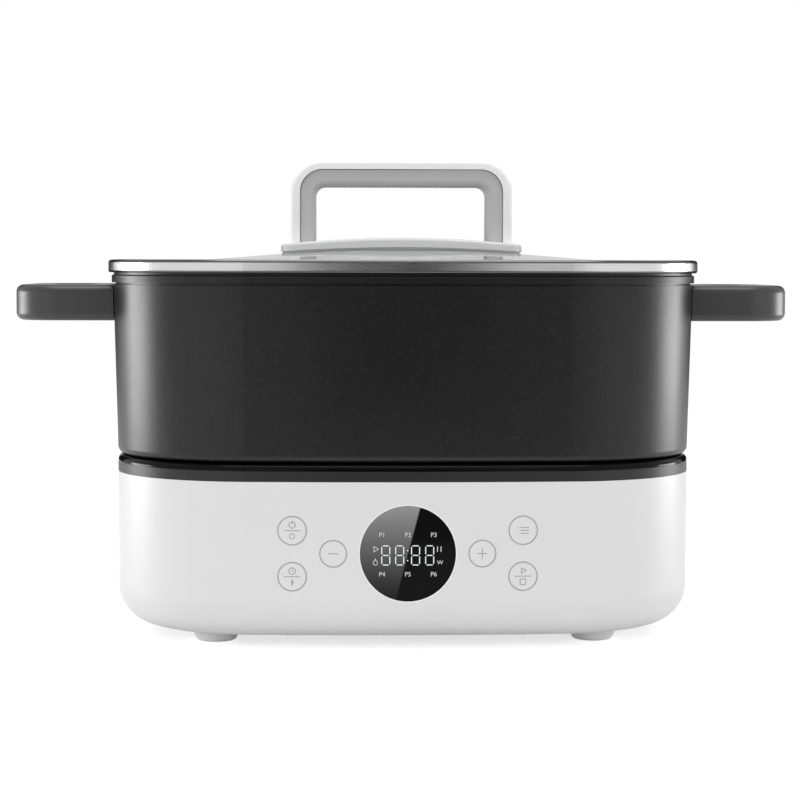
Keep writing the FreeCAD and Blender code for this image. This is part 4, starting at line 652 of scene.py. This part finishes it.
def makeRings(look):
    rings = []
    for node in ("power_key", "timer_key", "minus_key", "plus_key", "mode_key", "start_key"):
        x, z = middleOf(node)
        inner = seenRadius(node, look["flange"]) + look["gap"] - look["overhang"]
        rings.append(addHoop(x, z, inner + look["width"], inner, "base_shell"))
    layOn(rings, "key_rings", None, "base", inks["printed_rings"])
    # the ring round the lens is a painted highlight, a near-white strip standing in for light caught on the chamfer
    # of the hole
    x, z = middleOf("display_lens")
    inner = seenRadius("display_lens", look["lensFlange"]) + look["lensGap"] / 2
    paintedHighlight = addHoop(x, z, inner + look["paintedHighlight"], inner, "base_shell")
    layOn([paintedHighlight], "lens_highlight_ring", None, "base", inks["lens_highlight_ring"])


makeDisplay(displaySettings)
makeKeyMarks(keySettings)
makeRings(ringSettings)
print("marks laid on the display and keys")


# floor, world, cards, lamps and camera

stageSettings = dict(floorSize=8.0, floorColor=0.80, floorGlow=0.67, worldFill=0.40, mirror=0.55, matt=0.9)


def seenDirectly(tree, mirror):
    # one where a camera or glass ray looks, less where a mirror ray does
    path = tree.nodes.new("ShaderNodeLightPath").outputs
    dimmed = addMath(tree, "MULTIPLY", path["Is Glossy Ray"], mirror)
    plain = addMath(tree, "MAXIMUM", path["Is Camera Ray"], dimmed)
    return addMath(tree, "MAXIMUM", plain, path["Is Transmission Ray"])


def makeMatt(name, tone):
    material, tree, shader = newMaterial(name)
    shader.inputs["Base Color"].default_value = (tone, tone, tone, 1.0)
    shader.inputs["Roughness"].default_value = stageSettings["matt"]
    shader.inputs["Specular IOR Level"].default_value = 0.0
    return material, tree, shader


def makeFloor(look):
    clearSelection()
    bpy.ops.mesh.primitive_plane_add(size=look["floorSize"])
    floor = bpy.context.object
    floor.name = "floor"
    material, tree, shader = makeMatt("floor_white", look["floorColor"])
    shader.inputs["Emission Color"].default_value = white
    glow = addMath(tree, "MULTIPLY", seenDirectly(tree, look["mirror"]), look["floorGlow"])
    feed(tree, glow, shader.inputs["Emission Strength"])
    floor.data.materials.append(material)


def makeWorld(look):
    world = bpy.data.worlds.new("studio")
    bpy.context.scene.world = world
    world.use_nodes = True
    tree = world.node_tree
    back = tree.nodes["Background"]
    back.inputs["Color"].default_value = white
    level = addRange(tree, seenDirectly(tree, look["mirror"]), (0.0, 1.0), (look["worldFill"], 1.0))
    feed(tree, level, back.inputs["Strength"])


cardSettings = {  # beside the camera, on the floor ahead of the picture, and behind for the edges
    "front_card": dict(at=(0.015, -2.1, 0.60), turn=(quarterTurn, 0.0), size=(0.59, 1.2), tone=0.015),
    "floor_card": dict(at=(0.0, -1.30, 0.004), turn=(0.0, 0.0), size=(0.36, 1.5), tone=0.015),
    "grey_card": dict(at=(0.38, -1.30, 0.004), turn=(0.0, 0.0), size=(0.40, 1.5), tone=0.30),
    "pale_card": dict(at=(0.57, -2.05, 0.60), turn=(quarterTurn, 0.0), size=(0.52, 1.2), tone=0.85),
    "left_card": dict(at=(-1.02, 1.75, 0.45), turn=(quarterTurn, 0.30), size=(0.86, 1.6), tone=0.02),
    "right_card": dict(at=(1.10, 1.75, 0.45), turn=(quarterTurn, -0.30), size=(0.86, 1.6), tone=0.02),
}


def makeCard(name, look):
    clearSelection()
    tilt, turn = look["turn"]
    bpy.ops.mesh.primitive_plane_add(size=1.0, location=look["at"], rotation=(tilt, 0.0, turn))
    card = bpy.context.object
    card.name = name
    card.scale = (*look["size"], 1.0)
    card.data.materials.append(makeMatt(name, look["tone"])[0])
    card.visible_camera = False  # the cards show only in mirror images
    card.visible_diffuse = False
    card.visible_transmission = False
    card.visible_shadow = False


lampSettings = {
    "leftStrip": dict(at=(-1.13, 0.27, 0.12), aim=(-0.14, -0.05, 0.12), size=(0.52, 0.24), power=4.1, seen=True),
    "rightStrip": dict(at=(1.13, 0.29, 0.12), aim=(0.14, -0.05, 0.12), size=(0.48, 0.24), power=3.3, seen=True),
    "leftFront": dict(at=(-1.25, -1.35, 0.45), aim=(0.0, 0.0, 0.10), size=(1.1, 0.8), power=8.2, seen=False),
    "rightFront": dict(at=(1.25, -1.35, 0.45), aim=(0.0, 0.0, 0.10), size=(1.1, 0.8), power=7.3, seen=False),
    "topBox": dict(at=(0.0, -0.25, 1.5), aim=(0.0, 0.0, 0.1), size=(1.2, 0.8), power=10.5, seen=True),
}


def makeLamp(name, look):
    lamp = bpy.data.lights.new(name, "AREA")
    lamp.shape = "RECTANGLE"
    lamp.size, lamp.size_y = look["size"]
    lamp.energy = look["power"]
    holder = bpy.data.objects.new(name, lamp)
    bpy.context.scene.collection.objects.link(holder)
    holder.location = look["at"]
    holder.visible_glossy = look["seen"]  # the front boxes light evenly without a mirror image
    x, y, z = (end - start for end, start in zip(look["aim"], look["at"]))
    tilt = quarterTurn + math.atan2(z, math.hypot(x, y))
    holder.rotation_euler = (tilt, 0.0, math.atan2(y, x) - quarterTurn)


cameraSettings = dict(at=(-0.0398, -1.2569, 0.1994), right=0.0313, down=0.0612, roll=-0.0021, lens=100.55,
                      sensor=36.0, near=0.05)


def makeCamera(look):
    view = bpy.data.cameras.new("view")
    view.lens = look["lens"]
    view.sensor_width = look["sensor"]
    view.clip_start = look["near"]
    holder = bpy.data.objects.new("view", view)
    bpy.context.scene.collection.objects.link(holder)
    holder.location = look["at"]
    holder.rotation_mode = "XYZ"
    holder.rotation_euler = (quarterTurn - look["down"], look["roll"], -look["right"])
    bpy.context.scene.camera = holder


makeFloor(stageSettings)
makeWorld(stageSettings)
for name, look in cardSettings.items():
    makeCard(name, look)
for name, look in lampSettings.items():
    makeLamp(name, look)
makeCamera(cameraSettings)
bpy.context.scene.view_settings.view_transform = "Standard"
print("stage, lamps and camera ready")
